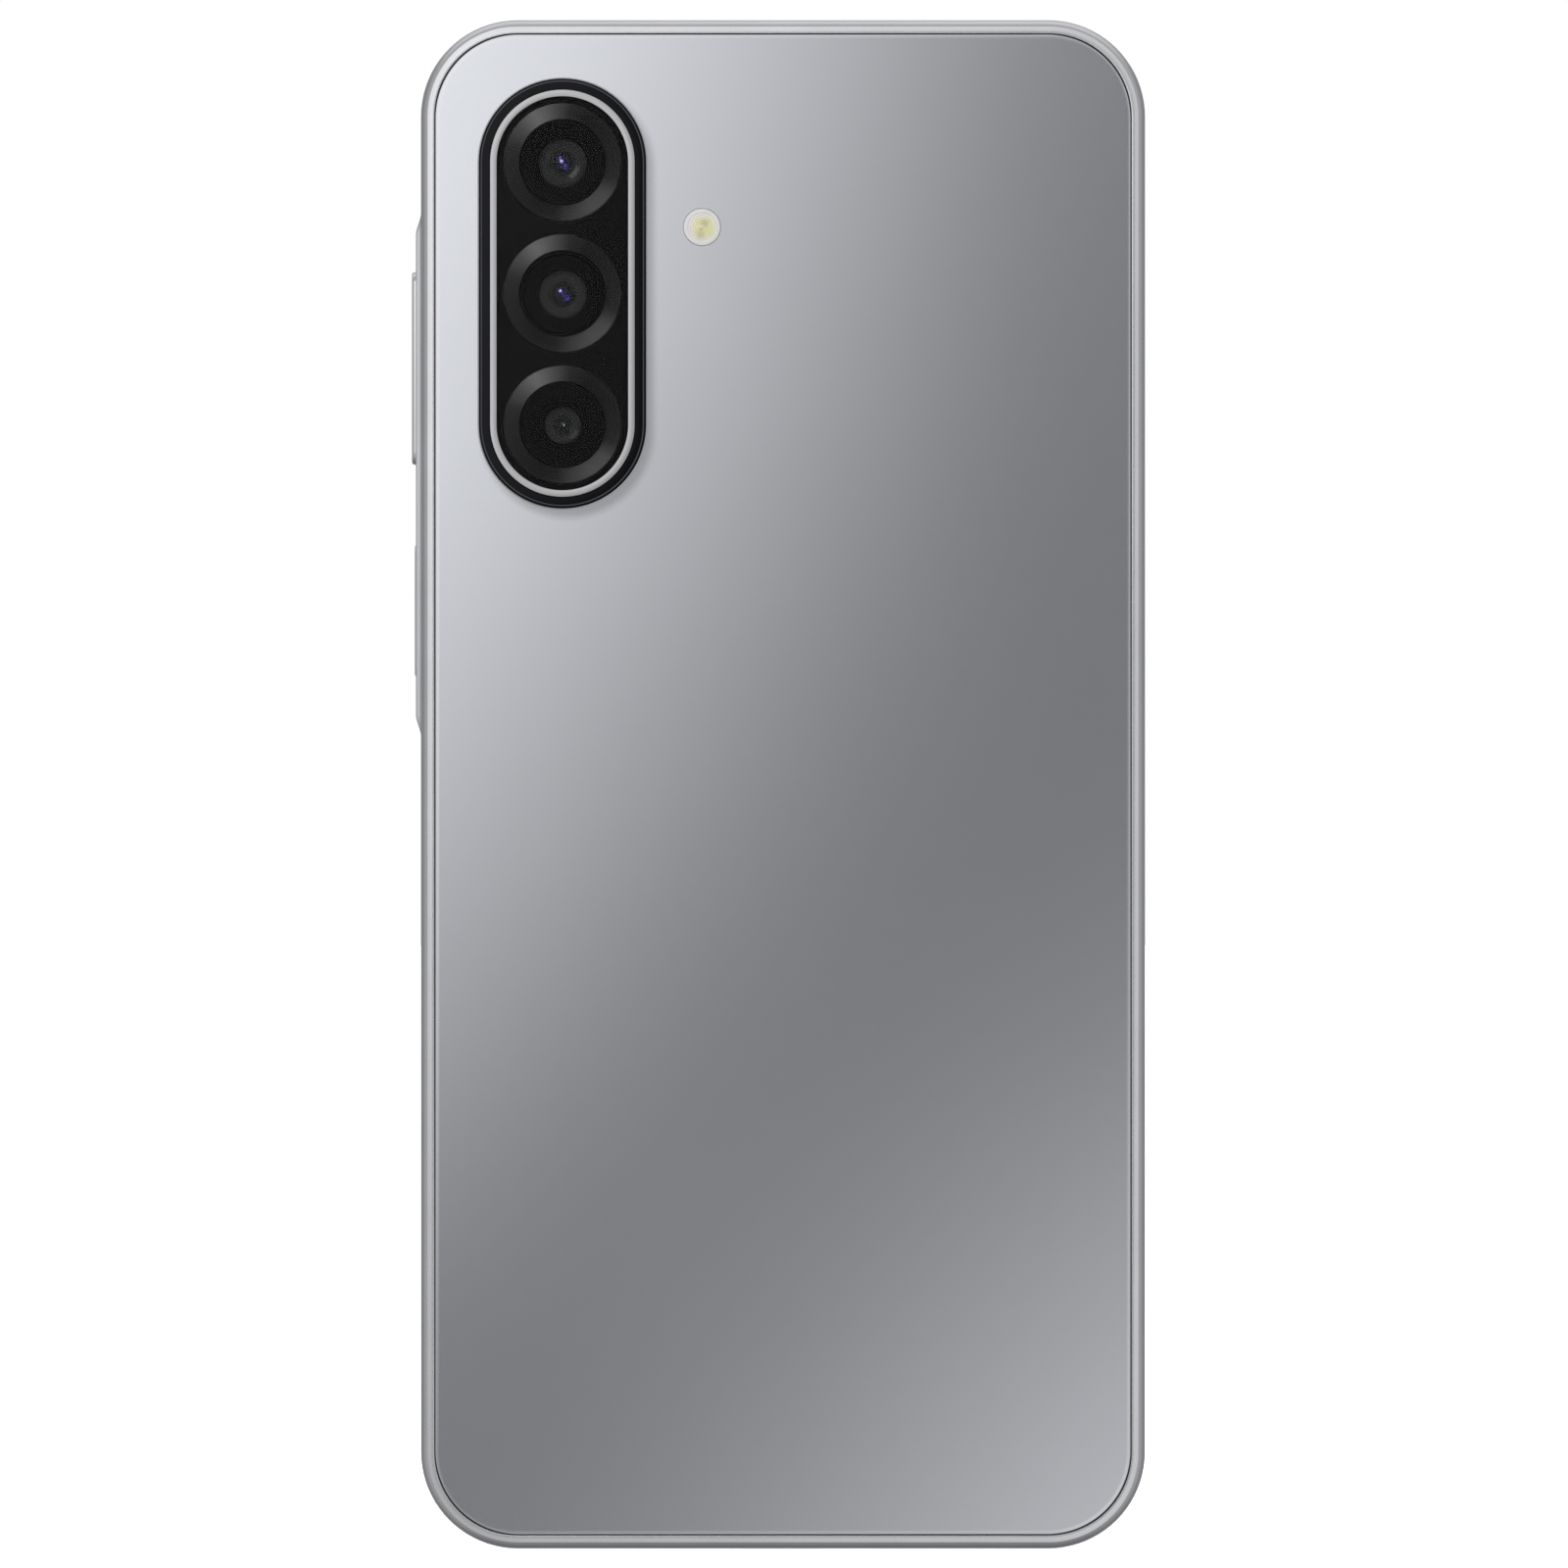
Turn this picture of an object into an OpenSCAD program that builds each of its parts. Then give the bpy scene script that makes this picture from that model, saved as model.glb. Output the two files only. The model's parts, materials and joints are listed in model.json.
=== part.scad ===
// Smartphone: slab body with a flat rear cover, a pill-shaped camera island, a raised key pad on one
// side, a card tray on the other and the working parts inside. Everything is in millimetres.
// Each part is drawn lying on the screen: x runs across, y up the length from the bottom edge, and z out
// of the rear cover from the middle of the thickness. stand() then sets it upright on the bottom edge.

/* [Body] */
// Width of the body, without the keys
body_w = 77.9; // [76:0.1:80]
// Height of the body
body_h = 164.4; // [163:0.1:168]
// Radius of the body's corners, seen from the rear
corner_r = 10.4; // [10:0.1:11]
// Width of the rounded edge between the side and the rear rim
edge_s = 0.7; // [0.5:0.05:0.8]

/* [Camera island] */
// Distance of the island's centreline from the middle of the body
island_x = 23.7; // [22:0.1:24]
// Distance of the middle lens from the top edge
island_drop = 29.45; // [29:0.05:30]
// Distance between neighbouring lenses
lens_pitch = 14.1; // [14:0.1:14.5]
// Radius of the island's round ends
island_r = 9; // [8.9:0.05:9.2]
// Height of the trim ring over the rear cover
island_t = 1.3; // [1.2:0.05:1.5]

/* [Side keys] */
// Length of the volume key
volume_len = 20.8; // [20:0.1:21.5]
// Length of the power key
power_len = 14.2; // [14:0.1:15]
// Width of both keys
key_w = 2.7; // [2.5:0.05:2.8]
// Gap between a key and its slot
key_gap = 0.15; // [0.12:0.01:0.18]
// Height of the raised pad around the keys
pad_t = 0.55; // [0.45:0.05:0.6]

/* [Card tray] */
// Length of the tray's outer head
head_len = 15.3; // [15.2:0.05:15.4]
// Width of the tray's outer head
head_w = 2.2; // [2.1:0.05:2.2]
// Radius of the hole for the eject pin
pin_hole_r = 0.45; // [0.4:0.01:0.47]

/* [Charging port] */
// Width of the port's opening
port_w = 8.34; // [8.3:0.01:8.4]
// Height of the port's opening
port_h = 2.56; // [2.5:0.01:2.6]

/* [Hidden] */
$fn = 64;

// Body: levels through the thickness, from the rear face at +z to the glass at -z
half_w = body_w / 2;
rear_z = 3.75;
cover_t = 0.7;
glue_t = 0.1;
rear_ledge_z = rear_z - cover_t - glue_t;
rear_flange_z = 2.25;
plate_top_z = -1.7;
plate_low_z = -2.2;
front_flange_z = -1.4;
glass_z = -3.75;
glass_t = 0.55;
front_ledge_z = glass_z + glass_t + glue_t;

// Body: insets from the outer side face
rim_s = 1.5;
cover_s = 1.62;
wall_s = 2.2;
flange_s = 3.4;
glass_s = 1.02;
glass_pocket_s = 0.95;
panel_s = 2.4;
edge_flat_z = 2.5;
rear_edge_z = 3.55;
front_edge_s = 0.55;
front_edge_z = -3.6;
slip = 0.02;
over = 1;

// Body: bosses that the covers are screwed to, as [x, y]
upper_screws = [
    [-31.8, body_h - 7.7], [31.8, body_h - 7.7], [-12.5, body_h - 6.9], [-32, body_h - 51.9],
    [-13, body_h - 51.9], [32, body_h - 51.9], [4, body_h - 20.4]
];
lower_screws = [[-31.8, 7.7], [31.8, 7.7], [-31.5, 17], [32, 17], [-9, 17], [-14.8, 6.6]];
boss_r = 1.6;
boss_foot_r = 2.4;
boss_top_z = 2.3;
screw_r = 0.7;
cap_t = 0.55;

// Side keys
pad_low = body_h - 77.1;
pad_high = body_h - 20.7;
pad_ramp = 2.4;
pad_w = 4.6;
volume_y = body_h - 37.4;
power_y = body_h - 63.5;
volume_proud = 1.0;
power_proud = pad_t + 0.14;
key_back_s = 2.75;
nub_s = 2.85;
pivot_s = 2.95;
pivot_r = 0.19;
dome_s = 2.9;
flex_s = 3.15;
flex_t = 0.15;
dome_r = 1.3;
dome_offset = 6.5;
hook_t = 0.4;
hook_top_z = 1.85;

// Card tray, its reader and the levers that push it out, with y counted from the tray's own line
tray_y = body_h - 30.4;
head_y = 0.2;
head_z = -0.4;
head_t = 1.5;
head_gap = 0.1;
neck_t = 0.5;
neck_less = 0.4;
seal_more = 0.06;
neck_x = half_w - head_t - neck_t;
rod_y = 7;
rod_r = 0.35;
rod_guide_r = 0.4;
rod_in_x = 11.35;
rod_out_x = neck_x - 0.15;
carrier_in_x = 11.6;
carrier_z = -1.05;
carrier_t = 0.75;
lever_pivot = [8.6, 0.8];
lever_rod_end = [10.7, rod_y];
lever_slide_end = [8.9, -5.2];
lever_pin_r = 0.5;
lever_bore_r = 0.55;
lever_hub_r = 1.05;
lever_t = 0.6;
board_z = 0.2;
board_t = 0.7;
board_back_z = board_z + board_t;

// Cameras
lens_y = body_h - island_drop;
ring_r = 6.35;
ring_low_z = 3.55;
ring_foot_z = 4;
ring_lip = 0.15;
barrel_r = 4.65;
barrel_top_z = 3.5;
module_top_z = 1.6;
seat_z = 2;
mouth_w = 1.1;
mouth_h = 0.3;
lens_t = 0.5;
main_r = 2.6;
main_bore_r = 4.25;
main_top_z = 2.3;
main_seat_z = 1.7;
moving_top_z = 3.1;
trim_r = 7.8;
glass_r = 7.05;
mask_z = 4.1;
window_z = 4.35;
window_t = 0.5;
ring_top_z = window_z;
bezel_top_z = rear_z + 1;
bezel_step = 0.3;
bezel_bore_r = 6.5;
skirt_r = 8.3;
front_cam_y = body_h - 6.8;
flash_x = -8.7;
flash_y = body_h - 22.3;
flash_r = 1.95;

// Bottom end: the shell around the port, and what it leaves in the frame's slot all round
shell_wall = 0.3;
shell_gap = 0.78;
sub_z = -0.3;
sub_t = 0.6;
sub_back_z = sub_z + sub_t;
speaker_x = [6, 30.2];
motor_xy = [-24, 11.6];
speaker_holes = 6;
speaker_hole_r = 0.55;
speaker_hole_x = 10.6;
speaker_hole_pitch = 2.1;
mic_hole_r = 0.4;
mic_low_x = -9.6;
mic_high_x = -7.3;

// ---------- helpers ----------
// Sets a lying part upright: the rear cover then faces -y and the bottom edge is at z = 0
module stand() rotate([90, 0, 0]) children();

// Box between two corners
module block(low, high) translate(low) cube(high - low);

// Rounded rectangle centred on the body, as far in from its outline as inset says
module body_outline(inset) {
    w = body_w - 2 * inset;
    h = body_h - 2 * inset;
    r = corner_r - inset;
    translate([0, body_h / 2]) rounded(w, h, r);
}

module rounded(w, h, r) {
    square([w - 2 * r, h], center = true);
    square([w, h - 2 * r], center = true);
    for (x = [-1, 1], y = [-1, 1]) translate([x * (w / 2 - r), y * (h / 2 - r)]) circle(r);
}

module plate(inset, low, high) translate([0, 0, low]) linear_extrude(high - low) body_outline(inset);

module box_rounded(centre, size, r, low, high)
    translate([centre[0], centre[1], low]) linear_extrude(high - low) rounded(size[0], size[1], r);

// Shape with round ends, len long and wid across
module stadium(len, wid) {
    square([len - wid, wid], center = true);
    for (x = [-1, 1]) translate([x * (len - wid) / 2, 0]) circle(wid / 2);
}

// Round-ended prism that runs along x, with its length along y
module key_prism(len, wid, x0, x1, y, z = 0)
    translate([x0, y, z]) rotate([90, 0, 90]) linear_extrude(x1 - x0) stadium(len, wid);

// Round-ended prism that runs along y, with its length along x
module port_prism(len, wid, y0, y1, x = 0, z = 0)
    translate([x, y1, z]) rotate([90, 0, 0]) linear_extrude(y1 - y0) stadium(len, wid);

// Pill of the camera island
module pill(r, low, high)
    translate([-island_x, lens_y, low]) linear_extrude(high - low) rotate(90)
        stadium(2 * (lens_pitch + r), 2 * r);

module disc(x, y, r, low, high) translate([x, y, low]) cylinder(r = r, h = high - low);

module x_rod(x0, x1, y, z, r) translate([x0, y, z]) rotate([0, 90, 0]) cylinder(r = r, h = x1 - x0);

module y_rod(y0, y1, x, z, r) translate([x, y1, z]) rotate([90, 0, 0]) cylinder(r = r, h = y1 - y0);

function quarter(centre, radii, from, to, n = 6) = [
    for (i = [0 : n])
        let (a = from + (to - from) * i / n)
            [centre[0] + radii[0] * cos(a), centre[1] + radii[1] * sin(a)]
];

// ---------- housing ----------
// Section of the side frame as [inset from the side face, z]
function frame_section() = concat(
    quarter([edge_s, edge_flat_z], [edge_s, rear_edge_z - edge_flat_z], 180, 90),
    [
        [rim_s, rear_z], [rim_s, rear_ledge_z], [flange_s, rear_ledge_z], [flange_s, rear_flange_z],
        [wall_s, rear_flange_z], [wall_s, front_flange_z], [flange_s, front_flange_z],
        [flange_s, plate_low_z], [wall_s, plate_low_z], [wall_s, front_ledge_z],
        [glass_pocket_s, front_ledge_z], [glass_pocket_s, front_edge_z]
    ],
    quarter([front_edge_s, -edge_flat_z], [front_edge_s, -edge_flat_z - front_edge_z], 270, 180)
);

// A straight stretch of frame whose side face is far away from the middle, run long
module frame_run(away, run)
    rotate([90, 0, 0]) translate([0, 0, -run / 2]) linear_extrude(run)
        polygon([for (p = frame_section()) [away - p[0], p[1]]]);

module frame_ring() {
    for (turn = [0, 180]) translate([0, body_h / 2, 0]) rotate(turn) {
        frame_run(half_w, body_h - 2 * corner_r);
        rotate(90) frame_run(body_h / 2, body_w - 2 * corner_r);
    }
    for (i = [0 : 3]) {
        x = (i == 0 || i == 3 ? 1 : -1) * (half_w - corner_r);
        y = body_h / 2 + (i < 2 ? 1 : -1) * (body_h / 2 - corner_r);
        translate([x, y, 0]) rotate(90 * i) rotate_extrude(angle = 90)
            polygon([for (p = frame_section()) [corner_r - p[0], p[1]]]);
    }
}

// Raised pad around the keys, with an eased ramp at each end
module key_pad() {
    steps = 5;
    ramp = [for (i = [0 : steps]) [i / steps, (1 - cos(180 * i / steps)) / 2]];
    low = [for (p = ramp) [-half_w - pad_t * p[1], pad_low + pad_ramp * p[0]]];
    high = [for (p = ramp) [-half_w - pad_t * p[1], pad_high - pad_ramp * p[0]]];
    top = [for (i = [steps : -1 : 0]) high[i]];
    translate([0, 0, -pad_w / 2]) linear_extrude(pad_w)
        polygon(concat(low, top, [[-half_w + over, pad_high], [-half_w + over, pad_low]]));
}

module side_frame() color("silver") stand() difference() {
    union() {
        frame_ring();
        key_pad();
    }
    key_slot(volume_len, volume_y);
    key_slot(power_len, power_y);
    tray_slot();
    port_prism(port_w + shell_gap, port_h + shell_gap, -over, wall_s + over);
    port_prism(port_w + 2, port_h + 2, wall_s, flange_s + over);
    for (i = [0 : speaker_holes - 1])
        y_rod(-over, wall_s + over, speaker_hole_x + i * speaker_hole_pitch, 0, speaker_hole_r);
    y_rod(-over, wall_s + over, mic_low_x, 0, mic_hole_r);
    y_rod(body_h - wall_s - over, body_h + over, mic_high_x, 0, mic_hole_r);
    earpiece_duct();
}

module tray_slot() {
    len = head_len + 2 * head_gap;
    wid = head_w + 2 * head_gap;
    key_prism(len, wid, half_w - wall_s - over, half_w + over, tray_y + head_y, head_z);
}

module key_slot(len, y)
    key_prism(len + 2 * key_gap, key_w + 2 * key_gap, -half_w - over, -half_w + wall_s + over, y);

// Sound path from the earpiece to the slit over the glass
module earpiece_duct() {
    block([-5, body_h - 1.75, front_ledge_z - over], [5, body_h - 1.05, 0]);
    block([-5, body_h - wall_s - over, -0.9], [5, body_h - 1.05, 0]);
}

module mid_plate() color("gainsboro") stand() difference() {
    union() {
        plate(flange_s, plate_low_z, plate_top_z);
        for (p = concat(upper_screws, lower_screws)) disc(p[0], p[1], boss_r, plate_top_z, boss_top_z);
        for (p = upper_screws) disc(p[0], p[1], boss_foot_r, plate_top_z, board_z);
        for (p = lower_screws) disc(p[0], p[1], boss_foot_r, plate_top_z, sub_z);
    }
    for (p = concat(upper_screws, lower_screws)) disc(p[0], p[1], screw_r, 0, boss_top_z + over);
    disc(0, front_cam_y, 2, plate_low_z - over, plate_top_z + over);
    block([-23, 19.9, plate_low_z - over], [-5, 21.1, plate_top_z + over]);
    for (y = [40, 70]) box_rounded([0, y], [30, 12], 3, plate_low_z - over, plate_top_z + over);
}

module rear_cover() color("darkgray") stand() difference() {
    plate(cover_s, rear_z - cover_t, rear_z);
    pill(skirt_r + 0.1, rear_z - cover_t - over, rear_z + over);
    disc(flash_x, flash_y, flash_r + 0.05, rear_z - cover_t - over, rear_z + over);
}

module rear_cover_adhesive() color("black") stand() difference() {
    plate(cover_s + 0.1, rear_ledge_z, rear_ledge_z + glue_t);
    plate(flange_s - 0.1, rear_ledge_z - over, rear_ledge_z + over);
}

module cover_glass() color("black") stand() difference() {
    plate(glass_s, glass_z, glass_z + glass_t);
    box_rounded([0, body_h - glass_s], [11, 1.1], 0.5, glass_z - over, glass_z + glass_t + over);
}

module display_adhesive() color("dimgray") stand() difference() {
    plate(glass_s + 0.1, glass_z + glass_t, front_ledge_z);
    plate(wall_s - 0.1, glass_z, front_ledge_z + over);
    box_rounded([0, body_h - glass_s], [12, 2.4], 0.5, glass_z, front_ledge_z + over);
}

module display_panel() color("black") stand() difference() {
    union() {
        plate(panel_s, glass_z + glass_t, -2.5);
        plate(panel_s + 1, -2.5, -2.3);
    }
    disc(0, front_cam_y, 2.1, glass_z, plate_low_z);
}

// Ribbon from the back of the panel, through the plate, to its connector on the lower board
module display_flex() color("darkorange") stand() {
    t = 0.08;
    x0 = -19;
    top = 1;
    block([x0, 8, -2.29], [-6, 20.55, -2.29 + t]);
    block([x0, 20.55 - t, -2.29], [-6, 20.55, top + t]);
    block([x0, 11.6, top], [-11, 20.55, top + t]);
}

module earpiece_mesh() color("black") stand()
    box_rounded([0, body_h - 1.3], [9.8, 0.5], 0.2, glass_z + 0.12, front_ledge_z + 0.5);

// ---------- camera island ----------
module camera_bezel() color([0.06, 0.06, 0.07]) stand() difference() {
    union() {
        pill(island_r, rear_z, bezel_top_z - bezel_step);
        pill(island_r - bezel_step, bezel_top_z - bezel_step, bezel_top_z);
        pill(skirt_r, rear_z - cover_t, rear_z);
    }
    pill(trim_r, window_z, bezel_top_z + over);
    pill(glass_r, mask_z, window_z + over);
    pill(bezel_bore_r, 0, mask_z + over);
}

module camera_trim_ring() color("silver") stand() difference() {
    pill(trim_r - slip, window_z, rear_z + island_t);
    pill(glass_r, window_z - over, rear_z + island_t + over);
}

module camera_window() color([0.1, 0.1, 0.1, 0.5]) stand()
    pill(glass_r - 0.03, window_z, window_z + window_t);

module camera_mask() color([0.05, 0.05, 0.05]) stand() difference() {
    pill(glass_r - 0.03, mask_z, window_z);
    for (i = [-1 : 1])
        disc(-island_x, lens_y + i * lens_pitch, ring_r + 0.05, mask_z - over, window_z + over);
}

module lens_rings() color([0.25, 0.25, 0.26]) stand() for (i = [-1 : 1])
    translate([-island_x, lens_y + i * lens_pitch, 0]) difference() {
        translate([0, 0, ring_low_z]) cylinder(r = ring_r, h = ring_top_z - ring_low_z);
        translate([0, 0, ring_low_z - over]) cylinder(r = barrel_r, h = over + ring_top_z - ring_low_z);
        translate([0, 0, ring_foot_z])
            cylinder(r1 = barrel_r, r2 = ring_r - ring_lip, h = ring_top_z - ring_foot_z + slip);
    }

// A fixed-focus camera: square housing, round barrel, front opening and a seat for the front lens
module small_camera(y, side, opening_r) difference() {
    union() {
        box_rounded([-island_x, y], [side, side], 1, plate_top_z, module_top_z);
        disc(-island_x, y, barrel_r, module_top_z, barrel_top_z);
    }
    disc(-island_x, y, opening_r, seat_z, barrel_top_z + over);
    translate([-island_x, y, barrel_top_z - mouth_h])
        cylinder(r1 = opening_r, r2 = opening_r + mouth_w, h = mouth_h + slip);
}

// A front lens: a flat disc with a domed front
module lens_element(x, y, r, low, dome) {
    disc(x, y, r, low, low + lens_t);
    cap_r = (r * r + dome * dome) / (2 * dome);
    intersection() {
        translate([x, y, low + lens_t + dome - cap_r]) sphere(cap_r);
        disc(x, y, r, low + lens_t - slip, low + lens_t + dome);
    }
}

module ultrawide_camera() color([0.08, 0.08, 0.08]) stand()
    small_camera(lens_y + lens_pitch, 10.4, 2.65);

module ultrawide_lens() color([0.1, 0.1, 0.3]) stand()
    lens_element(-island_x, lens_y + lens_pitch, main_r, seat_z, 0.7);

module macro_camera() color([0.08, 0.08, 0.08]) stand()
    small_camera(lens_y - lens_pitch, 9, 2.05);

module macro_lens() color([0.1, 0.12, 0.14]) stand()
    lens_element(-island_x, lens_y - lens_pitch, 2, seat_z, 0.45);

module main_camera() color([0.08, 0.08, 0.08]) stand() difference() {
    union() {
        box_rounded([-island_x, lens_y], [12.6, 12.6], 1, plate_top_z, main_top_z);
        disc(-island_x, lens_y, barrel_r, main_top_z, barrel_top_z);
    }
    disc(-island_x, lens_y, main_bore_r, -0.9, barrel_top_z + over);
}

module main_lens_barrel() color([0.05, 0.05, 0.05]) stand() difference() {
    bore_r = main_r + 0.05;
    disc(-island_x, lens_y, main_bore_r - 0.05, -0.3, moving_top_z);
    disc(-island_x, lens_y, bore_r, main_seat_z, moving_top_z + over);
    translate([-island_x, lens_y, moving_top_z - mouth_h])
        cylinder(r1 = bore_r, r2 = bore_r + mouth_w - 0.05, h = mouth_h + slip);
}

module main_lens() color([0.1, 0.1, 0.3]) stand() lens_element(-island_x, lens_y, main_r, main_seat_z, 0.6);

module flash_lens() color("ivory") stand() {
    flange_z = rear_ledge_z + 0.09;
    disc(flash_x, flash_y, flash_r, flange_z, rear_z);
    disc(flash_x, flash_y, flash_r + 0.55, rear_ledge_z, flange_z);
}

module flash_led() color("khaki") stand() {
    box_rounded([flash_x, flash_y], [3.4, 3.4], 0.3, board_back_z, 2.3);
    for (i = [-1, 1]) box_rounded([flash_x + 0.72 * i, flash_y + 0.3 * i], [1.1, 1.1], 0.1, 2.3, 2.45);
}

// ---------- side keys ----------
module volume_key() color("silver") stand() {
    x_in = -half_w + key_back_s;
    pivot_x = -half_w + pivot_s;
    key_prism(volume_len, key_w, -half_w - volume_proud, x_in, volume_y);
    block([x_in - hook_t, volume_y - 3, -key_w / 2], [x_in, volume_y + 3, hook_top_z]);
    for (i = [-1, 1]) x_rod(x_in - slip, -half_w + nub_s, volume_y + i * dome_offset, 0, 0.6);
    block([x_in - slip, volume_y - pivot_r, -1], [pivot_x, volume_y + pivot_r, 1]);
    translate([pivot_x, volume_y, -1]) cylinder(r = pivot_r, h = 2);
}

module power_key() color("silver") stand() {
    x_in = -half_w + key_back_s;
    x_out = -half_w - power_proud;
    difference() {
        key_prism(power_len, key_w, x_out, x_in, power_y);
        key_prism(power_len - 1.6, key_w - 0.8, x_out - over, x_out + 0.35, power_y);
    }
    block([x_in - hook_t, power_y - power_len / 2 - 0.8, -1.2], [x_in, power_y + power_len / 2 + 0.8, 1.2]);
    x_rod(x_in - slip, -half_w + nub_s, power_y, 0, 0.6);
}

module fingerprint_sensor() color("gray") stand() {
    x_out = -half_w - power_proud;
    key_prism(power_len - 1.64, key_w - 0.84, x_out + 0.04, x_out + 0.35, power_y);
}

module side_key_flex() color("darkorange") stand() {
    x0 = -half_w + flex_s;
    block([x0, power_y - 8.5, -1.3], [x0 + flex_t, volume_y + 16, 1.3]);
    block([x0, volume_y + 13, 1.3 - flex_t], [-31.5, volume_y + 16, 1.3]);
}

module dome(y) translate([-half_w + flex_s, y, 0]) rotate([0, -90, 0])
    cylinder(r1 = dome_r, r2 = 0.7, h = flex_s - dome_s);

module volume_domes() color("gold") stand() for (i = [-1, 1]) dome(volume_y + i * dome_offset);

module power_dome() color("gold") stand() dome(power_y);

module key_bracket() color("lightgray") stand() {
    x0 = -half_w + flex_s + flex_t;
    x1 = x0 + 0.4;
    block([x0, power_y - 9, -1.35], [x1, volume_y + 12, 1.9]);
    for (y = [power_y - 3, volume_y - 4]) {
        block([x0 + 0.15, y, plate_top_z], [x1, y + 8, -1.3]);
        block([x0 + 0.15, y, plate_top_z], [-33.4, y + 8, plate_top_z + 0.3]);
    }
}

// ---------- card tray ----------
module sim_tray() color("silver") stand() translate([0, tray_y, 0]) difference() {
    union() {
        key_prism(head_len, head_w, half_w - head_t, half_w, head_y, head_z);
        key_prism(head_len - 2 * neck_less, head_w - 2 * neck_less, neck_x, half_w - head_t, head_y, head_z);
        block([carrier_in_x, -6.6, carrier_z], [neck_x, 6.2, carrier_z + carrier_t]);
    }
    x_rod(neck_x - over, half_w + over, rod_y, head_z, pin_hole_r);
    card_pocket(12.2, 21, -6.35, 5.95);
    card_pocket(21.5, 36.5, -5.7, 5.3);
}

// Pocket for a card, with one corner cut off and a ledge under its rim
module card_pocket(x0, x1, y0, y1) {
    cut = 1.6;
    rim = 1;
    translate([0, 0, carrier_z + 0.15]) linear_extrude(carrier_t)
        polygon([[x0, y0], [x1, y0], [x1, y1 - cut], [x1 - cut, y1], [x0, y1]]);
    block([x0 + rim, y0 + rim, carrier_z - over], [x1 - rim, y1 - rim - cut / 2, carrier_z + over]);
}

module sim_tray_seal() color([0.3, 0.3, 0.3]) stand() translate([0, tray_y, 0]) difference() {
    key_prism(head_len + 2 * seal_more, head_w + 2 * seal_more, neck_x, half_w - head_t, head_y, head_z);
    key_prism(head_len - 2 * neck_less, head_w - 2 * neck_less, neck_x - over, half_w, head_y, head_z);
}

module sim_reader() color("lightgray") stand() translate([0, tray_y, 0]) {
    difference() {
        union() {
            difference() {
                block([6.2, -7.4, -1.5], [35.2, 8.2, board_z]);
                block([6.4, -7.2, -1.35], [36, 8, 0]);
            }
            block([30, 6.35, -1.4], [33, 8.1, 0.1]);
        }
        x_rod(29, 34, rod_y, head_z, rod_guide_r);
    }
    translate([lever_pivot[0], lever_pivot[1], -1.4]) cylinder(r = lever_pin_r, h = 1.5);
}

module eject_rod() color("lightgray") stand() x_rod(rod_in_x, rod_out_x, tray_y + rod_y, head_z, rod_r);

module eject_lever() color("lightgray") stand() translate([0, tray_y, -0.75]) difference() {
    union() {
        translate(lever_pivot) cylinder(r = lever_hub_r, h = lever_t);
        lever_arm(lever_rod_end, 0.55);
        lever_arm(lever_slide_end, 0.5);
    }
    translate([lever_pivot[0], lever_pivot[1], -over]) cylinder(r = lever_bore_r, h = 3);
}

// Arm from the lever's hub to a round end, with its flanks just inside both circles
module lever_arm(end, r) {
    way = end - lever_pivot;
    side = 0.9 * [way[1], -way[0]] / norm(way);
    translate(end) cylinder(r = r, h = lever_t);
    linear_extrude(lever_t) polygon([
        lever_pivot - lever_hub_r * side, end - r * side,
        end + r * side, lever_pivot + lever_hub_r * side
    ]);
}

module eject_slide() color("lightgray") stand() translate([0, tray_y, 0])
    block([9.7, -6.2, -1.1], [11.5, -1.2, -0.2]);

// ---------- boards ----------
module main_board() color("seagreen") stand() difference() {
    intersection() {
        plate(flange_s + 0.45, board_z, board_back_z);
        block([-half_w, body_h - 55, 0], [half_w, body_h, 2]);
    }
    block([-30.9, lens_y - 21, -over], [-16.5, lens_y + 21.5, 2]);
    block([-3.8, body_h - 10.6, -over], [3.8, body_h, 2]);
    block([5.4, body_h - 12.8, -over], [17.6, body_h, 2]);
    for (p = upper_screws) disc(p[0], p[1], boss_r + 0.1, -over, 2);
}

module shield_can(low, high) difference() {
    block([low[0], low[1], board_back_z], [high[0], high[1], 2.1]);
    block([low[0] + 0.2, low[1] + 0.2, board_back_z - over], [high[0] - 0.2, high[1] - 0.2, 1.9]);
}

module shield_cans() color("lightgray") stand() {
    shield_can([9, body_h - 36], [32, body_h - 14.8]);
    shield_can([-11, body_h - 49], [5, body_h - 28]);
}

module board_chips() color([0.15, 0.15, 0.15]) stand() {
    for (p = [[13, -33, 13, 13], [12, -19, 6, 3], [21, -19, 7, 3], [-8, -46, 10, 9], [-8, -35, 6, 5]])
        translate([p[0], body_h + p[1], board_back_z]) cube([p[2], p[3], 0.8]);
}

module board_connectors() color([0.2, 0.2, 0.2]) stand() {
    block([-3.5, body_h - 51.6, board_back_z], [3.5, body_h - 49.6, 1.7]);
    block([-24, body_h - 54.1, board_back_z], [-17, body_h - 52.1, 1.7]);
    block([-3.5, 14.2, sub_back_z], [3.5, 16.2, 1]);
    block([-19, 11.6, sub_back_z], [-11, 13.3, 1]);
}

module microphones() color("lightgray") stand() {
    box_rounded([mic_low_x, 6], [3.5, 2.6], 0.2, -1.3, sub_z);
    box_rounded([mic_high_x, body_h - 7], [3.5, 2.6], 0.2, -0.8, board_z);
}

module sub_board() color("seagreen") stand() difference() {
    box_rounded([-14.6, 11.75], [40, 15.5], 1, sub_z, sub_back_z);
    block([-4.7, 0, -over], [4.7, 8, over]);
    disc(motor_xy[0], motor_xy[1], 4.3, -over, over);
    block([-36, 0, -over], [-28.6, 9.8, over]);
    for (p = lower_screws) disc(p[0], p[1], boss_r + 0.1, -over, over);
}

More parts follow.
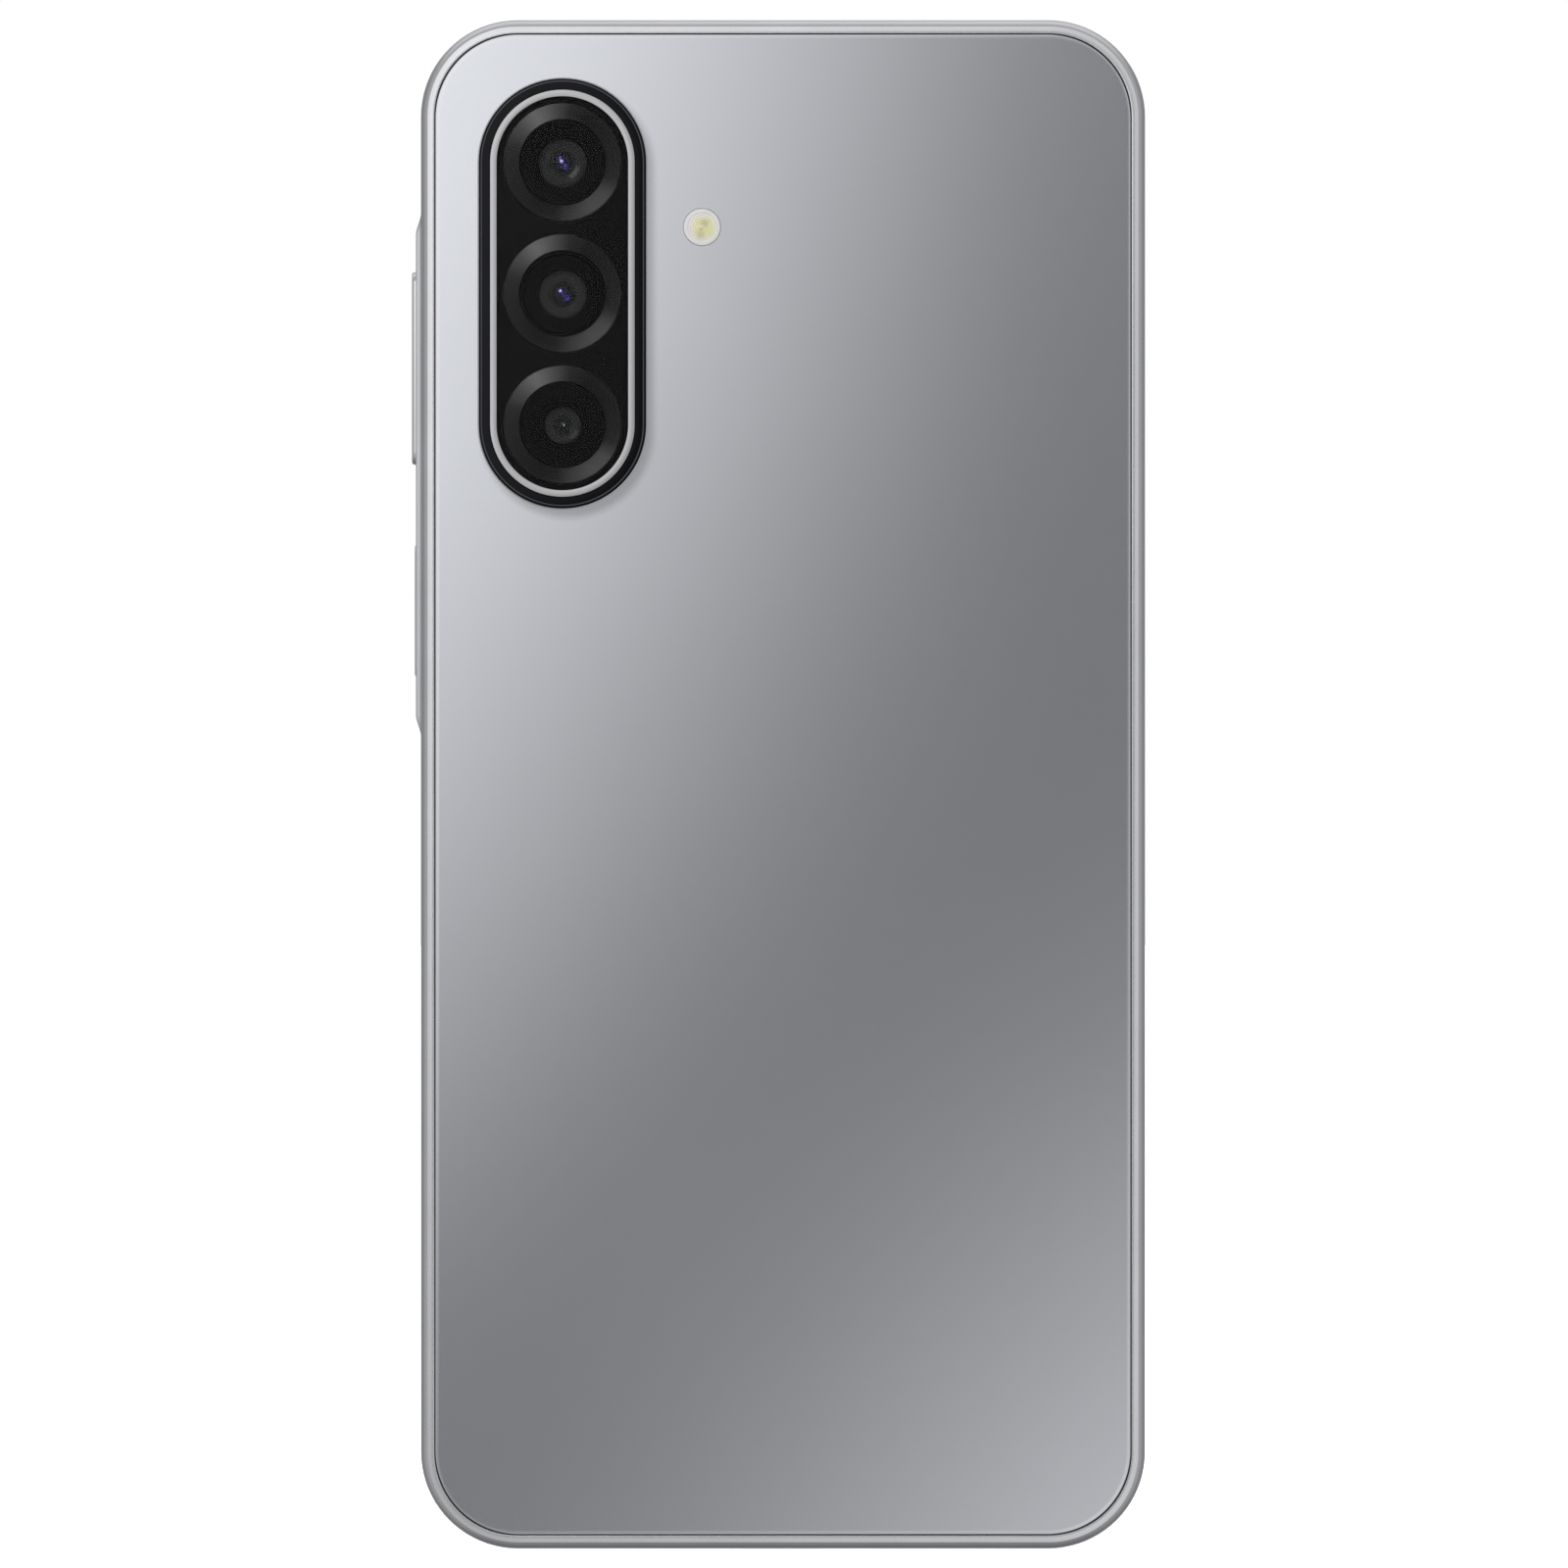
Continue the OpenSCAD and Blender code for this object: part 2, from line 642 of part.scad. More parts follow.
module usb_shell() color("lightgray") stand() difference() {
    port_prism(port_w + 2 * shell_wall, port_h + 2 * shell_wall, 0.35, 7.6);
    port_prism(port_w, port_h, 0, 6.55);
}

module usb_tongue() color([0.1, 0.1, 0.1]) stand() {
    block([-3.34, 2.1, -0.35], [3.34, 6.55, 0.35]);
    block([-3.8, 5.9, -0.9], [3.8, 6.55, 0.9]);
}

module usb_seal() color([0.2, 0.2, 0.2]) stand() difference() {
    port_prism(port_w + 1.9, port_h + 1.9, wall_s + 0.02, 3.2);
    port_prism(port_w + 0.62, port_h + 0.62, 0, 5);
}

module main_flex() color("darkorange") stand() {
    t = 0.12;
    top = 2.86;
    y0 = 20.9;
    y1 = body_h - 55.6;
    block([-4, 14.2, 1], [4, y0, 1 + t]);
    block([-4, y0 - t, 1], [4, y0, top]);
    block([-4, y0 - t, top - t], [4, y1, top]);
    block([-4, y1 - t, 1.7], [4, y1, top]);
    block([-4, y1 - t, 1.7], [4, body_h - 49.6, 1.7 + t]);
}

module coax_cable() color([0.15, 0.15, 0.15]) stand() {
    x = -34;
    y0 = 12;
    y1 = body_h - 47.9;
    y_rod(y0, y1, x, 1.35, 0.4);
    disc(x, y0, 0.9, sub_back_z, 1.75);
    disc(x, y1, 0.9, board_back_z, 1.75);
}

// Pouch cell with its protection board along the top edge and a ribbon to the main board
module battery() color([0.12, 0.12, 0.13]) stand() {
    box_rounded([0, 62.9], [66, 82.8], 1.5, plate_top_z, 2.6);
    block([-30, 104.25, -1], [30, 107.4, 2]);
    block([-24, 107.3, 1.7], [-17, body_h - 51.8, 1.82]);
}

// Part of a plate that is clear of the frame's flange, from low to high along y
module cover_plate(low, high) intersection() {
    plate(flange_s + 0.25, boss_top_z, boss_top_z + cap_t);
    block([low[0], low[1], 0], [high[0], high[1], 5]);
}

module upper_cover() color([0.18, 0.18, 0.18]) stand() difference() {
    cover_plate([-half_w, body_h - 55], [half_w, body_h]);
    pill(7.2, 2, 4);
    disc(flash_x, flash_y, 2.2, 2, 4);
    for (p = upper_screws) disc(p[0], p[1], screw_r + 0.05, 2, 4);
}

module lower_cover() color([0.18, 0.18, 0.18]) stand() difference() {
    cover_plate([-half_w, 0], [5.7, 20.6]);
    for (p = lower_screws) disc(p[0], p[1], screw_r + 0.05, 2, 4);
}

// Antenna coil for short-range radio, on a thin sheet over the upper cover and the battery
module nfc_coil() color("peru") stand() {
    low = 2.87;
    sheet_t = 0.05;
    track_t = 0.03;
    pitch = 1.2;
    track_w = 0.7;
    centre = [10, body_h - 52];
    size = [40, 34];
    box_rounded(centre, size, 3, low, low + sheet_t);
    for (i = [1 : 4]) difference() {
        box_rounded(centre, size - [2, 2] * pitch * i, 2.5, low + sheet_t, low + sheet_t + track_t);
        box_rounded(centre, size - [2, 2] * (pitch * i + track_w), 2, low, low + over);
    }
}

module speaker_box() color([0.16, 0.16, 0.16]) stand() difference() {
    union() {
        block([speaker_x[0], 4.2, plate_top_z], [speaker_x[1] - 1.1, 19.6, boss_top_z + cap_t]);
        block([9, wall_s + 0.1, -1], [23, 4.4, 1]);
        cover_plate([28, 0], [half_w, 20.6]);
    }
    block([speaker_x[0] + 0.6, 4.8, plate_top_z + 0.6], [speaker_x[1] - 1.7, 19, boss_top_z]);
    block([9.6, 0, -0.6], [22.4, 6, 0.6]);
    for (p = lower_screws) disc(p[0], p[1], screw_r + 0.05, 2, 4);
}

module speaker_driver() color("lightgray") stand() difference() {
    block([8, 6.2, plate_top_z + 0.6], [28, 18, -0.1]);
    translate([18, 12.1, -0.7]) linear_extrude(2) rounded(18, 10, 3);
}

module speaker_diaphragm() color([0.3, 0.3, 0.3]) stand() {
    translate([18, 12.1, 0.1]) linear_extrude(0.2) rounded(17.4, 9.4, 2.8);
    difference() {
        translate([18, 12.1, -0.4]) linear_extrude(0.5 + slip) rounded(10, 5, 2);
        translate([18, 12.1, -over]) linear_extrude(1.1) rounded(9.2, 4.2, 1.7);
    }
}

module earpiece() color([0.2, 0.2, 0.2]) stand() {
    box_rounded([11.5, body_h - 9.4], [11.4, 6], 0.8, plate_top_z + 0.05, 0.6);
    box_rounded([11.5, body_h - 9.4], [9, 4], 0.8, 0.6, 0.8);
}

module front_camera() color([0.08, 0.08, 0.08]) stand() difference() {
    union() {
        box_rounded([0, front_cam_y], [6.4, 6.4], 0.5, plate_top_z + 0.05, 1.9);
        disc(0, front_cam_y, 1.8, -3.15, plate_top_z + 0.1);
    }
    disc(0, front_cam_y, 1.05, -4, -2.2);
}

module front_camera_lens() color([0.1, 0.1, 0.25]) stand() disc(0, front_cam_y, 1, -2.9, -2.2);

module vibration_motor() color("lightgray") stand() translate([motor_xy[0], motor_xy[1], 0]) {
    difference() {
        disc(0, 0, 4, plate_top_z, 1);
        disc(0, 0, 3.8, plate_top_z + 0.2, 0.8);
    }
    disc(0, 0, 0.4, plate_top_z + 0.1, 0.9);
}

// Half-disc weight on a hub, which shakes the phone as it turns
module vibration_rotor() color("goldenrod") stand() translate([motor_xy[0], motor_xy[1], 0]) difference() {
    union() {
        disc(0, 0, 0.9, -1.3, 0.5);
        intersection() {
            disc(0, 0, 3.5, -1.1, 0.3);
            block([-4, 0, -2], [4, 4, 2]);
        }
    }
    disc(0, 0, 0.45, -2, 2);
}

module cover_screws() color("silver") stand() for (p = concat(upper_screws, lower_screws)) {
    disc(p[0], p[1], screw_r - slip, 0.1, boss_top_z + cap_t);
    difference() {
        disc(p[0], p[1], 1.15, boss_top_z + cap_t, boss_top_z + cap_t + 0.18);
        translate([p[0], p[1], boss_top_z + cap_t + 0.08]) for (a = [0, 90])
            rotate(a) cube([1.5, 0.3, 0.3], center = true);
    }
}

side_frame();
mid_plate();
rear_cover();
rear_cover_adhesive();
camera_bezel();
camera_trim_ring();
camera_window();
camera_mask();
lens_rings();
ultrawide_camera();
ultrawide_lens();
main_camera();
main_lens_barrel();
main_lens();
macro_camera();
macro_lens();
flash_lens();
flash_led();
volume_key();
power_key();
fingerprint_sensor();
side_key_flex();
volume_domes();
power_dome();
key_bracket();
sim_tray();
sim_tray_seal();
sim_reader();
eject_rod();
eject_lever();
eject_slide();
cover_glass();
display_adhesive();
display_panel();
display_flex();
front_camera();
front_camera_lens();
earpiece();
earpiece_mesh();
main_board();
shield_cans();
board_chips();
board_connectors();
microphones();
sub_board();
usb_shell();
usb_tongue();
usb_seal();
main_flex();
coax_cable();
battery();
upper_cover();
lower_cover();
nfc_coil();
speaker_box();
speaker_driver();
speaker_diaphragm();
vibration_motor();
vibration_rotor();
cover_screws();
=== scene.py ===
"""Looks of the smartphone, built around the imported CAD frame.

Sections are worked out in millimetres in the phone's lying frame, as in the CAD source: x runs across,
y up the length from the bottom edge and z out of the rear cover. row() turns a point into the upright
frame in metres.
"""

import json
from math import cos, radians, sin

import bmesh
import bpy
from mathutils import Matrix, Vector

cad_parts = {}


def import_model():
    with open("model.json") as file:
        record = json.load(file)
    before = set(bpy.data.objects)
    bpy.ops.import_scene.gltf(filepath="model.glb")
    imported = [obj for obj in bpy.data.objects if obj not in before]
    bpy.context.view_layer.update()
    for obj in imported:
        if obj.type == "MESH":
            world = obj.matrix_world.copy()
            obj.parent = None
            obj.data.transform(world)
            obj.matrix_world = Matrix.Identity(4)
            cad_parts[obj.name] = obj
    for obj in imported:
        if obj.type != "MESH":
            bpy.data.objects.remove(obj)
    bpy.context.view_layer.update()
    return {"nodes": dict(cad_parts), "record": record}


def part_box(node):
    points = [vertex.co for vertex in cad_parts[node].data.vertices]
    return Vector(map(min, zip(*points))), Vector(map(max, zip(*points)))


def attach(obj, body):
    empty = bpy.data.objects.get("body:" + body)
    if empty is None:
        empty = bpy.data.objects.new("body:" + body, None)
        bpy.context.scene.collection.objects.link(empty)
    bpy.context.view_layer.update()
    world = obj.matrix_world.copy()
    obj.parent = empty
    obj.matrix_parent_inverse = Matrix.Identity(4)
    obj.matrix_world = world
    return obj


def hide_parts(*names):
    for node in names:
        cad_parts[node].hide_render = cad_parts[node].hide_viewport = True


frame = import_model()

MM = 0.001
UM = 0.000001


def node_box(name):
    """Lowest and highest corner of a CAD node in the lying frame, in millimetres."""
    lo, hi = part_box(name)
    return Vector((lo.x, lo.z, -hi.y)) / MM, Vector((hi.x, hi.z, -lo.y)) / MM


# ---------- sizes, from the frame where a node states them ----------
frame_lo, frame_hi = node_box("side_frame")
cover_lo, cover_hi = node_box("rear_cover")
glass_lo, glass_hi = node_box("cover_glass")
bezel_lo, bezel_hi = node_box("camera_bezel")
trim_lo, trim_hi = node_box("camera_trim_ring")
window_lo, window_hi = node_box("camera_window")
mask_lo, mask_hi = node_box("camera_mask")
rings_lo, rings_hi = node_box("lens_rings")
flash_lo, flash_hi = node_box("flash_lens")
volume_lo, volume_hi = node_box("volume_key")
power_lo, power_hi = node_box("power_key")
sensor_lo, sensor_hi = node_box("fingerprint_sensor")
tray_lo = node_box("sim_tray")[0]
seal_lo, seal_hi = node_box("sim_tray_seal")
mesh_lo, mesh_hi = node_box("earpiece_mesh")
shell_lo, shell_hi = node_box("usb_shell")

HALF_W = frame_hi.x
BODY_H = frame_hi.y
CORNER_R = 10.4
REAR_Z = frame_hi.z
FRONT_Z = glass_lo.z
COVER_EDGE = HALF_W - cover_hi.x - 0.04
GLASS_INSET = HALF_W - glass_hi.x
RIM_INSET = 1.46
PAD_T = -frame_lo.x - HALF_W
PAD_LOW = 87.3
PAD_HIGH = 143.7
PAD_RAMP = 2.4
PAD_EDGE_Z = 2.46
PAD_SLOPE = 0.2
SIDE_FLAT_Z = 2.5

LENS_X = (bezel_lo.x + bezel_hi.x) / 2
LENS_Y = (rings_lo.y + rings_hi.y) / 2
RING_R = (rings_hi.x - rings_lo.x) / 2
PITCH = (rings_hi.y - rings_lo.y) / 2 - RING_R
ISLAND_R = (bezel_hi.x - bezel_lo.x) / 2
TRIM_R = (trim_hi.x - trim_lo.x) / 2
TRIM_BORE_R = 7.05
WINDOW_R = (window_hi.x - window_lo.x) / 2
SKIRT_R = 8.3
BARREL_R = 4.65
BARREL_TOP = 3.5
RING_FOOT_Z = 4.0
MODULE_Z = -1.7
FLASH_X = (flash_lo.x + flash_hi.x) / 2
FLASH_Y = (flash_lo.y + flash_hi.y) / 2
FLASH_R = 1.98
FLASH_HOLE_R = 2.0
# chips that show through the flash: [right, up, darkening, reach]
FLASH_CHIPS = [(0.28, 0.43, 0.72, 0.75), (-0.16, -0.8, 0.78, 0.8), (-0.1, -0.2, 0.7, 0.3)]
FRONT_CAM_Y = BODY_H - 6.8

KEY_W = 2.7
KEY_GAP = 0.15
KEY_DEPTH = 3.75
VOLUME_Y = (volume_lo.y + volume_hi.y) / 2
POWER_Y = (power_lo.y + power_hi.y) / 2
POWER_LEN = 14.2
VOLUME_RUN = (volume_hi.y - volume_lo.y - KEY_W) / 2
POWER_RUN = (POWER_LEN - KEY_W) / 2
TRAY_Y = (seal_lo.y + seal_hi.y) / 2
TRAY_Z = (seal_lo.z + seal_hi.z) / 2
HEAD_LEN = seal_hi.y - seal_lo.y - 0.12
HEAD_R = (seal_hi.z - seal_lo.z - 0.12) / 2
HEAD_RUN = HEAD_LEN / 2 - HEAD_R
HEAD_X = seal_hi.x
NECK_X = seal_lo.x
PIN_Y = TRAY_Y + 6.8
PIN_R = 0.45
PORT_W = 8.34
PORT_R = 1.28
PORT_RUN = PORT_W / 2 - PORT_R
PORT_SHELL = 0.39
SPEAKER_X = [10.6 + 2.1 * i for i in range(6)]
SPEAKER_R = 0.55
MIC_R = 0.4
MIC_LOW_X = -9.6
MIC_HIGH_X = -7.3


# ---------- points and meshes ----------
def row(x, y, z):
    """A point of the lying phone, in millimetres, as a point of the upright one, in metres."""
    return Vector((x * MM, -z * MM, y * MM))


def arc(centre, radii, start, end, steps):
    """Points on an elliptical arc, angles in degrees."""
    found = []
    for i in range(steps + 1):
        a = radians(start + (end - start) * i / steps)
        found.append((centre[0] + radii[0] * cos(a), centre[1] + radii[1] * sin(a)))
    return found


def corner_fan(x, y, start, sweep, steps):
    """Stations of a round stretch: centre and outward direction."""
    fan = []
    for i in range(steps + 1):
        a = radians(start + sweep * i / steps)
        fan.append((x, y, cos(a), sin(a)))
    return fan


def body_stations(left=(), steps=20, radius=CORNER_R):
    """Stations round the body's outline. left lists extra heights down the key side."""
    x = HALF_W - radius
    high = BODY_H - radius
    found = corner_fan(x, high, 0, 90, steps) + corner_fan(-x, high, 90, 90, steps)
    found += [(-x, y, -1.0, 0.0) for y in left]
    return found + corner_fan(-x, radius, 180, 90, steps) + corner_fan(x, radius, 270, 90, steps)


def pill_stations(steps=40):
    """Stations round the camera island."""
    top = corner_fan(LENS_X, LENS_Y + PITCH, 0, 180, steps)
    return top + corner_fan(LENS_X, LENS_Y - PITCH, 180, 180, steps)


def stadium_stations(half_run, steps=14):
    """Stations round a slot that lies along the first axis, about its own middle."""
    return corner_fan(half_run, 0, -90, 180, steps) + corner_fan(-half_run, 0, 90, 180, steps)


def circle_stations(steps):
    return corner_fan(0, 0, 0, 360 * (steps - 1) / steps, steps - 1)


def add_object(name, data):
    obj = bpy.data.objects.new(name, data)
    bpy.context.scene.collection.objects.link(obj)
    return obj


def mesh_object(name, bm):
    """New object from a bmesh, which is used up."""
    mesh = bpy.data.meshes.new(name)
    bm.to_mesh(mesh)
    bm.free()
    return add_object(name, mesh)


def build(name, rings, closed=False):
    """Mesh through rings of equal length. The ends are capped, or the last ring joins the first."""
    bm = bmesh.new()
    rows = [[bm.verts.new(row(*p)) for p in ring] for ring in rings]
    count = len(rows[0])
    pairs = list(zip(rows, rows[1:]))
    if closed:
        pairs.append((rows[-1], rows[0]))
    for a, b in pairs:
        for i in range(count):
            j = (i + 1) % count
            bm.faces.new((a[i], a[j], b[j], b[i]))
    if not closed:
        bm.faces.new(rows[0])
        bm.faces.new(rows[-1])
    bmesh.ops.recalc_face_normals(bm, faces=bm.faces)
    return mesh_object(name, bm)


def lofted(name, stations, radius, profile, closed=False, shift=None):
    """Loft of a section round some stations. The section lists [inset from the outline, z]."""
    rings = []
    for inset, z in profile:
        ring = []
        for x, y, nx, ny in stations:
            px = x + nx * (radius - inset)
            py = y + ny * (radius - inset)
            if shift:
                px -= shift(px, py, z)
            ring.append((px, py, z))
        rings.append(ring)
    return build(name, rings, closed)


def slot_loft(name, middle, z, half_run, profile, steps=14, closed=False, up=False):
    """Loft of stadiums as [place, radius] along x, or up the phone."""
    stations = stadium_stations(half_run, steps)
    rings = []
    for at, r in profile:
        ring = [(middle + sa + r * na, z + sz + r * nz) for sa, sz, na, nz in stations]
        rings.append([(a, at, b) if up else (at, a, b) for a, b in ring])
    return build(name, rings, closed)


def round_x(name, y, z, profile, steps):
    """Solid of revolution about an axis along x, as [x, radius]."""
    stations = circle_stations(steps)
    return build(name, [[(x, y + r * nx, z + r * ny) for _, _, nx, ny in stations] for x, r in profile])


def turned(name, x, y, profile, steps=64, closed=False):
    """Solid of revolution about an axis out of the rear, as [radius, z] along its section."""
    stations = circle_stations(steps)
    rings = [[(x + r * nx, y + r * ny, z) for _, _, nx, ny in stations] for r, z in profile]
    return build(name, rings, closed)


def block(name, low, high, bevel=0.05):
    """Box between two corners with rounded edges."""
    bm = bmesh.new()
    bmesh.ops.create_cube(bm, size=1)
    for v in bm.verts:
        v.co = row(*[low[i] + (high[i] - low[i]) * (v.co[i] + 0.5) for i in range(3)])
    bmesh.ops.bevel(bm, geom=bm.edges[:], offset=bevel * MM, segments=2, profile=0.5, affect="EDGES")
    bmesh.ops.recalc_face_normals(bm, faces=bm.faces)
    return mesh_object(name, bm)


def cut(obj, tools):
    """Cuts the tools out of obj and keeps the result as its mesh."""
    for tool in tools:
        change = obj.modifiers.new("cut", "BOOLEAN")
        change.operation = "DIFFERENCE"
        change.solver = "EXACT"
        change.object = tool
    bpy.context.view_layer.update()
    graph = bpy.context.evaluated_depsgraph_get()
    made = bpy.data.meshes.new_from_object(obj.evaluated_get(graph))
    obj.modifiers.clear()
    obj.data = made
    obj.data.name = obj.name
    for tool in tools:
        bpy.data.objects.remove(tool)


def join(name, parts):
    """One object from several."""
    bm = bmesh.new()
    for part in parts:
        bm.from_mesh(part.data)
        bpy.data.objects.remove(part)
    return mesh_object(name, bm)


def dress(obj, slot, node, angle=32, body="housing", material=None):
    """Shades a piece, gives it its material, hangs it on its body, and hides the CAD node it stands for."""
    obj.data.shade_smooth()
    obj.data.set_sharp_from_angle(angle=radians(angle))
    obj.data.materials.clear()
    obj.data.materials.append(material or M[slot])
    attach(obj, body)
    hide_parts(node)


# ---------- shader nodes ----------
def feed(node, inputs):
    """Sets a node's inputs. A value that is another node's output is linked to it."""
    for key, value in inputs.items():
        if isinstance(value, bpy.types.NodeSocket):
            node.id_data.links.new(value, node.inputs[key])
        else:
            node.inputs[key].default_value = value


def add(tree, kind, inputs, **settings):
    """Adds a node and returns its outputs."""
    node = tree.nodes.new("ShaderNode" + kind)
    for key, value in settings.items():
        setattr(node, key, value)
    feed(node, inputs)
    return node.outputs


def new_material(name):
    mat = bpy.data.materials.new(name)
    mat.use_nodes = True
    return mat, mat.node_tree, mat.node_tree.nodes["Principled BSDF"]


def place_on(tree, kind="Object"):
    return add(tree, "TexCoord", {})[kind]


def object_place(tree, stretch=(1, 1, 1)):
    """Object coordinates, stretched so that a texture can run along one direction."""
    return add(tree, "Mapping", {"Vector": place_on(tree), "Scale": stretch})["Vector"]


def split(tree, vector):
    """The three parts of a vector."""
    parts = add(tree, "SeparateXYZ", {"Vector": vector})
    return parts["X"], parts["Y"], parts["Z"]


def noise(tree, where, scale, detail, **more):
    return add(tree, "TexNoise", {"Vector": where, "Scale": scale, "Detail": detail, **more})["Fac"]


def calc(tree, operation, *values):
    return add(tree, "Math", dict(enumerate(values)), operation=operation)["Value"]


def remap(tree, factor, low, high, start=0.0, end=1.0, kind="LINEAR"):
    """Value that runs from low to high as a factor runs from start to end."""
    inputs = {"Value": factor, "From Min": start, "From Max": end, "To Min": low, "To Max": high}
    return add(tree, "MapRange", inputs, interpolation_type=kind)["Result"]


def ease(tree, factor, low, high, start, end):
    return remap(tree, factor, low, high, start, end, "SMOOTHSTEP")


def ramp(tree, factor, stops):
    """Colour that follows a factor, from stops of [factor, colour]."""
    node = tree.nodes.new("ShaderNodeValToRGB")
    elements = node.color_ramp.elements
    while len(elements) < len(stops):
        elements.new(0.5)
    for element, (at, colour) in zip(elements, stops):
        element.position = at
        element.color = (*colour, 1)
    feed(node, {"Fac": factor})
    return node.outputs["Color"]


def mottle(tree, factor, colour, spread):
    """A colour that a texture makes a little darker and lighter."""
    dark, light = [tuple(min(1.0, c * (1 + way * spread)) for c in colour) for way in (-1, 1)]
    return ramp(tree, factor, [(0.3, dark), (0.7, light)])


def scaled(tree, colour, factor):
    return add(tree, "VectorMath", {0: colour, "Scale": factor}, operation="SCALE")["Vector"]


def away_from(tree, where, x, y):
    """Distance over the rear from one of its points."""
    flat = add(tree, "Mapping", {"Vector": where, "Scale": (1, 0, 1)})["Vector"]
    return add(tree, "VectorMath", {0: flat, 1: row(x, y, 0)}, operation="DISTANCE")["Value"]


def bump(tree, height, strength, distance):
    return add(tree, "Bump", {"Strength": strength, "Distance": distance, "Height": height})["Normal"]


# ---------- materials ----------
def surface(name, colour, rough, metallic, spread, grain, rough_spread, relief, depth, more=None):
    """Material whose colour, roughness and relief vary with a fine grain. depth is in micrometres."""
    more = dict(more or {})
    mat, tree, shader = new_material(name)
    where = object_place(tree, more.pop("stretch", (1, 1, 1)))
    fine = noise(tree, where, grain, 4.0, Roughness=0.6)
    stain = noise(tree, where, grain / 14, 2.0)
    least = max(0.02, rough - rough_spread)
    feed(shader, {
        "Base Color": mottle(tree, stain, colour, spread),
        "Roughness": remap(tree, fine, least, rough + rough_spread, 0.25, 0.75),
        "Normal": bump(tree, fine, relief, depth * UM),
        "Metallic": metallic, **more,
    })
    return mat


def painted_contact_shadow(tree, where):
    """Painted shadow: soft darkening of the cover round the camera island, stronger to its lower right."""
    aside, down = 0.55, 0.75
    darkest = 0.66
    inner, outer = ISLAND_R - 0.4, ISLAND_R + 0.9
    x, _, z = split(tree, where)
    across = calc(tree, "SUBTRACT", x, (LENS_X + aside) * MM)
    along = calc(tree, "ABSOLUTE", calc(tree, "SUBTRACT", z, (LENS_Y - down) * MM))
    beyond = calc(tree, "MAXIMUM", calc(tree, "SUBTRACT", along, PITCH * MM), 0.0)
    place = add(tree, "CombineXYZ", {"X": across, "Y": beyond})["Vector"]
    away = add(tree, "VectorMath", {0: place}, operation="LENGTH")["Value"]
    return ease(tree, away, darkest, 1.0, inner * MM, outer * MM)


def panel_material():
    """Metallic film under clear glass: fine flake, a faint haze, and a painted shadow round the camera
    island.
    """
    mat, tree, shader = new_material("rear_film")
    where = object_place(tree)
    flake = add(tree, "TexVoronoi", {"Vector": where, "Scale": 9000.0})["Distance"]
    film = mottle(tree, noise(tree, where, 28.0, 3.0), (0.592, 0.606, 0.642), 0.015)
    feed(shader, {
        # painted shadow round the camera island, darkening the film's colour
        "Base Color": scaled(tree, film, painted_contact_shadow(tree, where)),
        "Roughness": remap(tree, flake, 0.14, 0.2),
        "Normal": bump(tree, flake, 0.02, 4 * UM),
        "Metallic": 0.93, "Coat Weight": 1.0, "Coat Roughness": 0.06,
    })
    return mat


def screen_material():
    """Black glass: deep border, and a screen area that is a shade bluer."""
    mat, tree, shader = new_material("screen_black")
    where = object_place(tree)
    x, _, z = split(tree, where)
    border, edge = 2.6, 0.1
    inside = []
    for from_middle, half in ((x, HALF_W), (calc(tree, "SUBTRACT", z, BODY_H / 2 * MM), BODY_H / 2)):
        away = calc(tree, "ABSOLUTE", from_middle)
        inside.append(remap(tree, away, 1, 0, (half - border - edge) * MM, (half - border) * MM))
    both = calc(tree, "MULTIPLY", *inside)
    feed(shader, {
        "Base Color": ramp(tree, both, [(0.0, (0.004, 0.004, 0.005)), (1.0, (0.012, 0.013, 0.018))]),
        "Roughness": remap(tree, noise(tree, where, 90.0, 3.0), 0.03, 0.07),
        "IOR": 1.52, "Coat Weight": 0.3, "Coat Roughness": 0.02,
    })
    return mat


def clear_glass(name, colour, alpha):
    """Thin clear glass: what lies behind shows through, and the gloss stays."""
    mat, tree, shader = new_material(name)
    smear = noise(tree, object_place(tree), 120.0, 3.0)
    tint = mottle(tree, smear, colour, 0.1)
    feed(shader, {"Base Color": tint, "Roughness": remap(tree, smear, 0.02, 0.044), "Alpha": alpha})
    return mat


# painted highlight: grey of the turned face against the angle round it, in degrees, whose bright fans stand
# in for the light's reflection
PAINTED_SPUN_FANS = [
    (-180, 0.034), (-120, 0.018), (-98, 0.023), (-78, 0.065), (-58, 0.095), (-38, 0.09), (-18, 0.03),
    (0, 0.026), (62, 0.021), (82, 0.045), (102, 0.15), (120, 0.24), (140, 0.12), (162, 0.045), (180, 0.034),
]


def spun_material():
    """Dark metal turned on a lathe: fine rings, and a painted highlight in bright fans across the turned
    face.
    """
    mat, tree, shader = new_material("spun_dark_metal_painted_fans")
    source = place_on(tree, "Generated")
    centred = add(tree, "Mapping", {"Vector": source, "Location": (-0.5, -0.5, -0.5)})["Vector"]
    x, _, z = split(tree, centred)
    face = add(tree, "CombineXYZ", {"X": x, "Y": z})["Vector"]
    waves = {"Vector": face, "Scale": 55.0, "Distortion": 0.4, "Detail": 1.0}
    marks = add(tree, "TexWave", waves, wave_type="RINGS", rings_direction="SPHERICAL")["Fac"]
    turn = add(tree, "TexGradient", {"Vector": face}, gradient_type="RADIAL")["Fac"]
    # painted highlight: the grey rises into bright fans by the angle round the ring
    fans = ramp(tree, turn, [(at / 360 + 0.5, (grey, grey, grey * 0.98)) for at, grey in PAINTED_SPUN_FANS])
    feed(shader, {
        "Base Color": scaled(tree, fans, remap(tree, marks, 0.9, 1.1)),
        "Roughness": remap(tree, marks, 0.32, 0.38),
        "Normal": bump(tree, marks, 0.03, 5 * UM),
        "Tangent": add(tree, "Tangent", {}, direction_type="RADIAL", axis="Y")["Tangent"],
        "Anisotropic": 0.6, "Anisotropic Rotation": 0.25, "Metallic": 1.0,
    })
    return mat
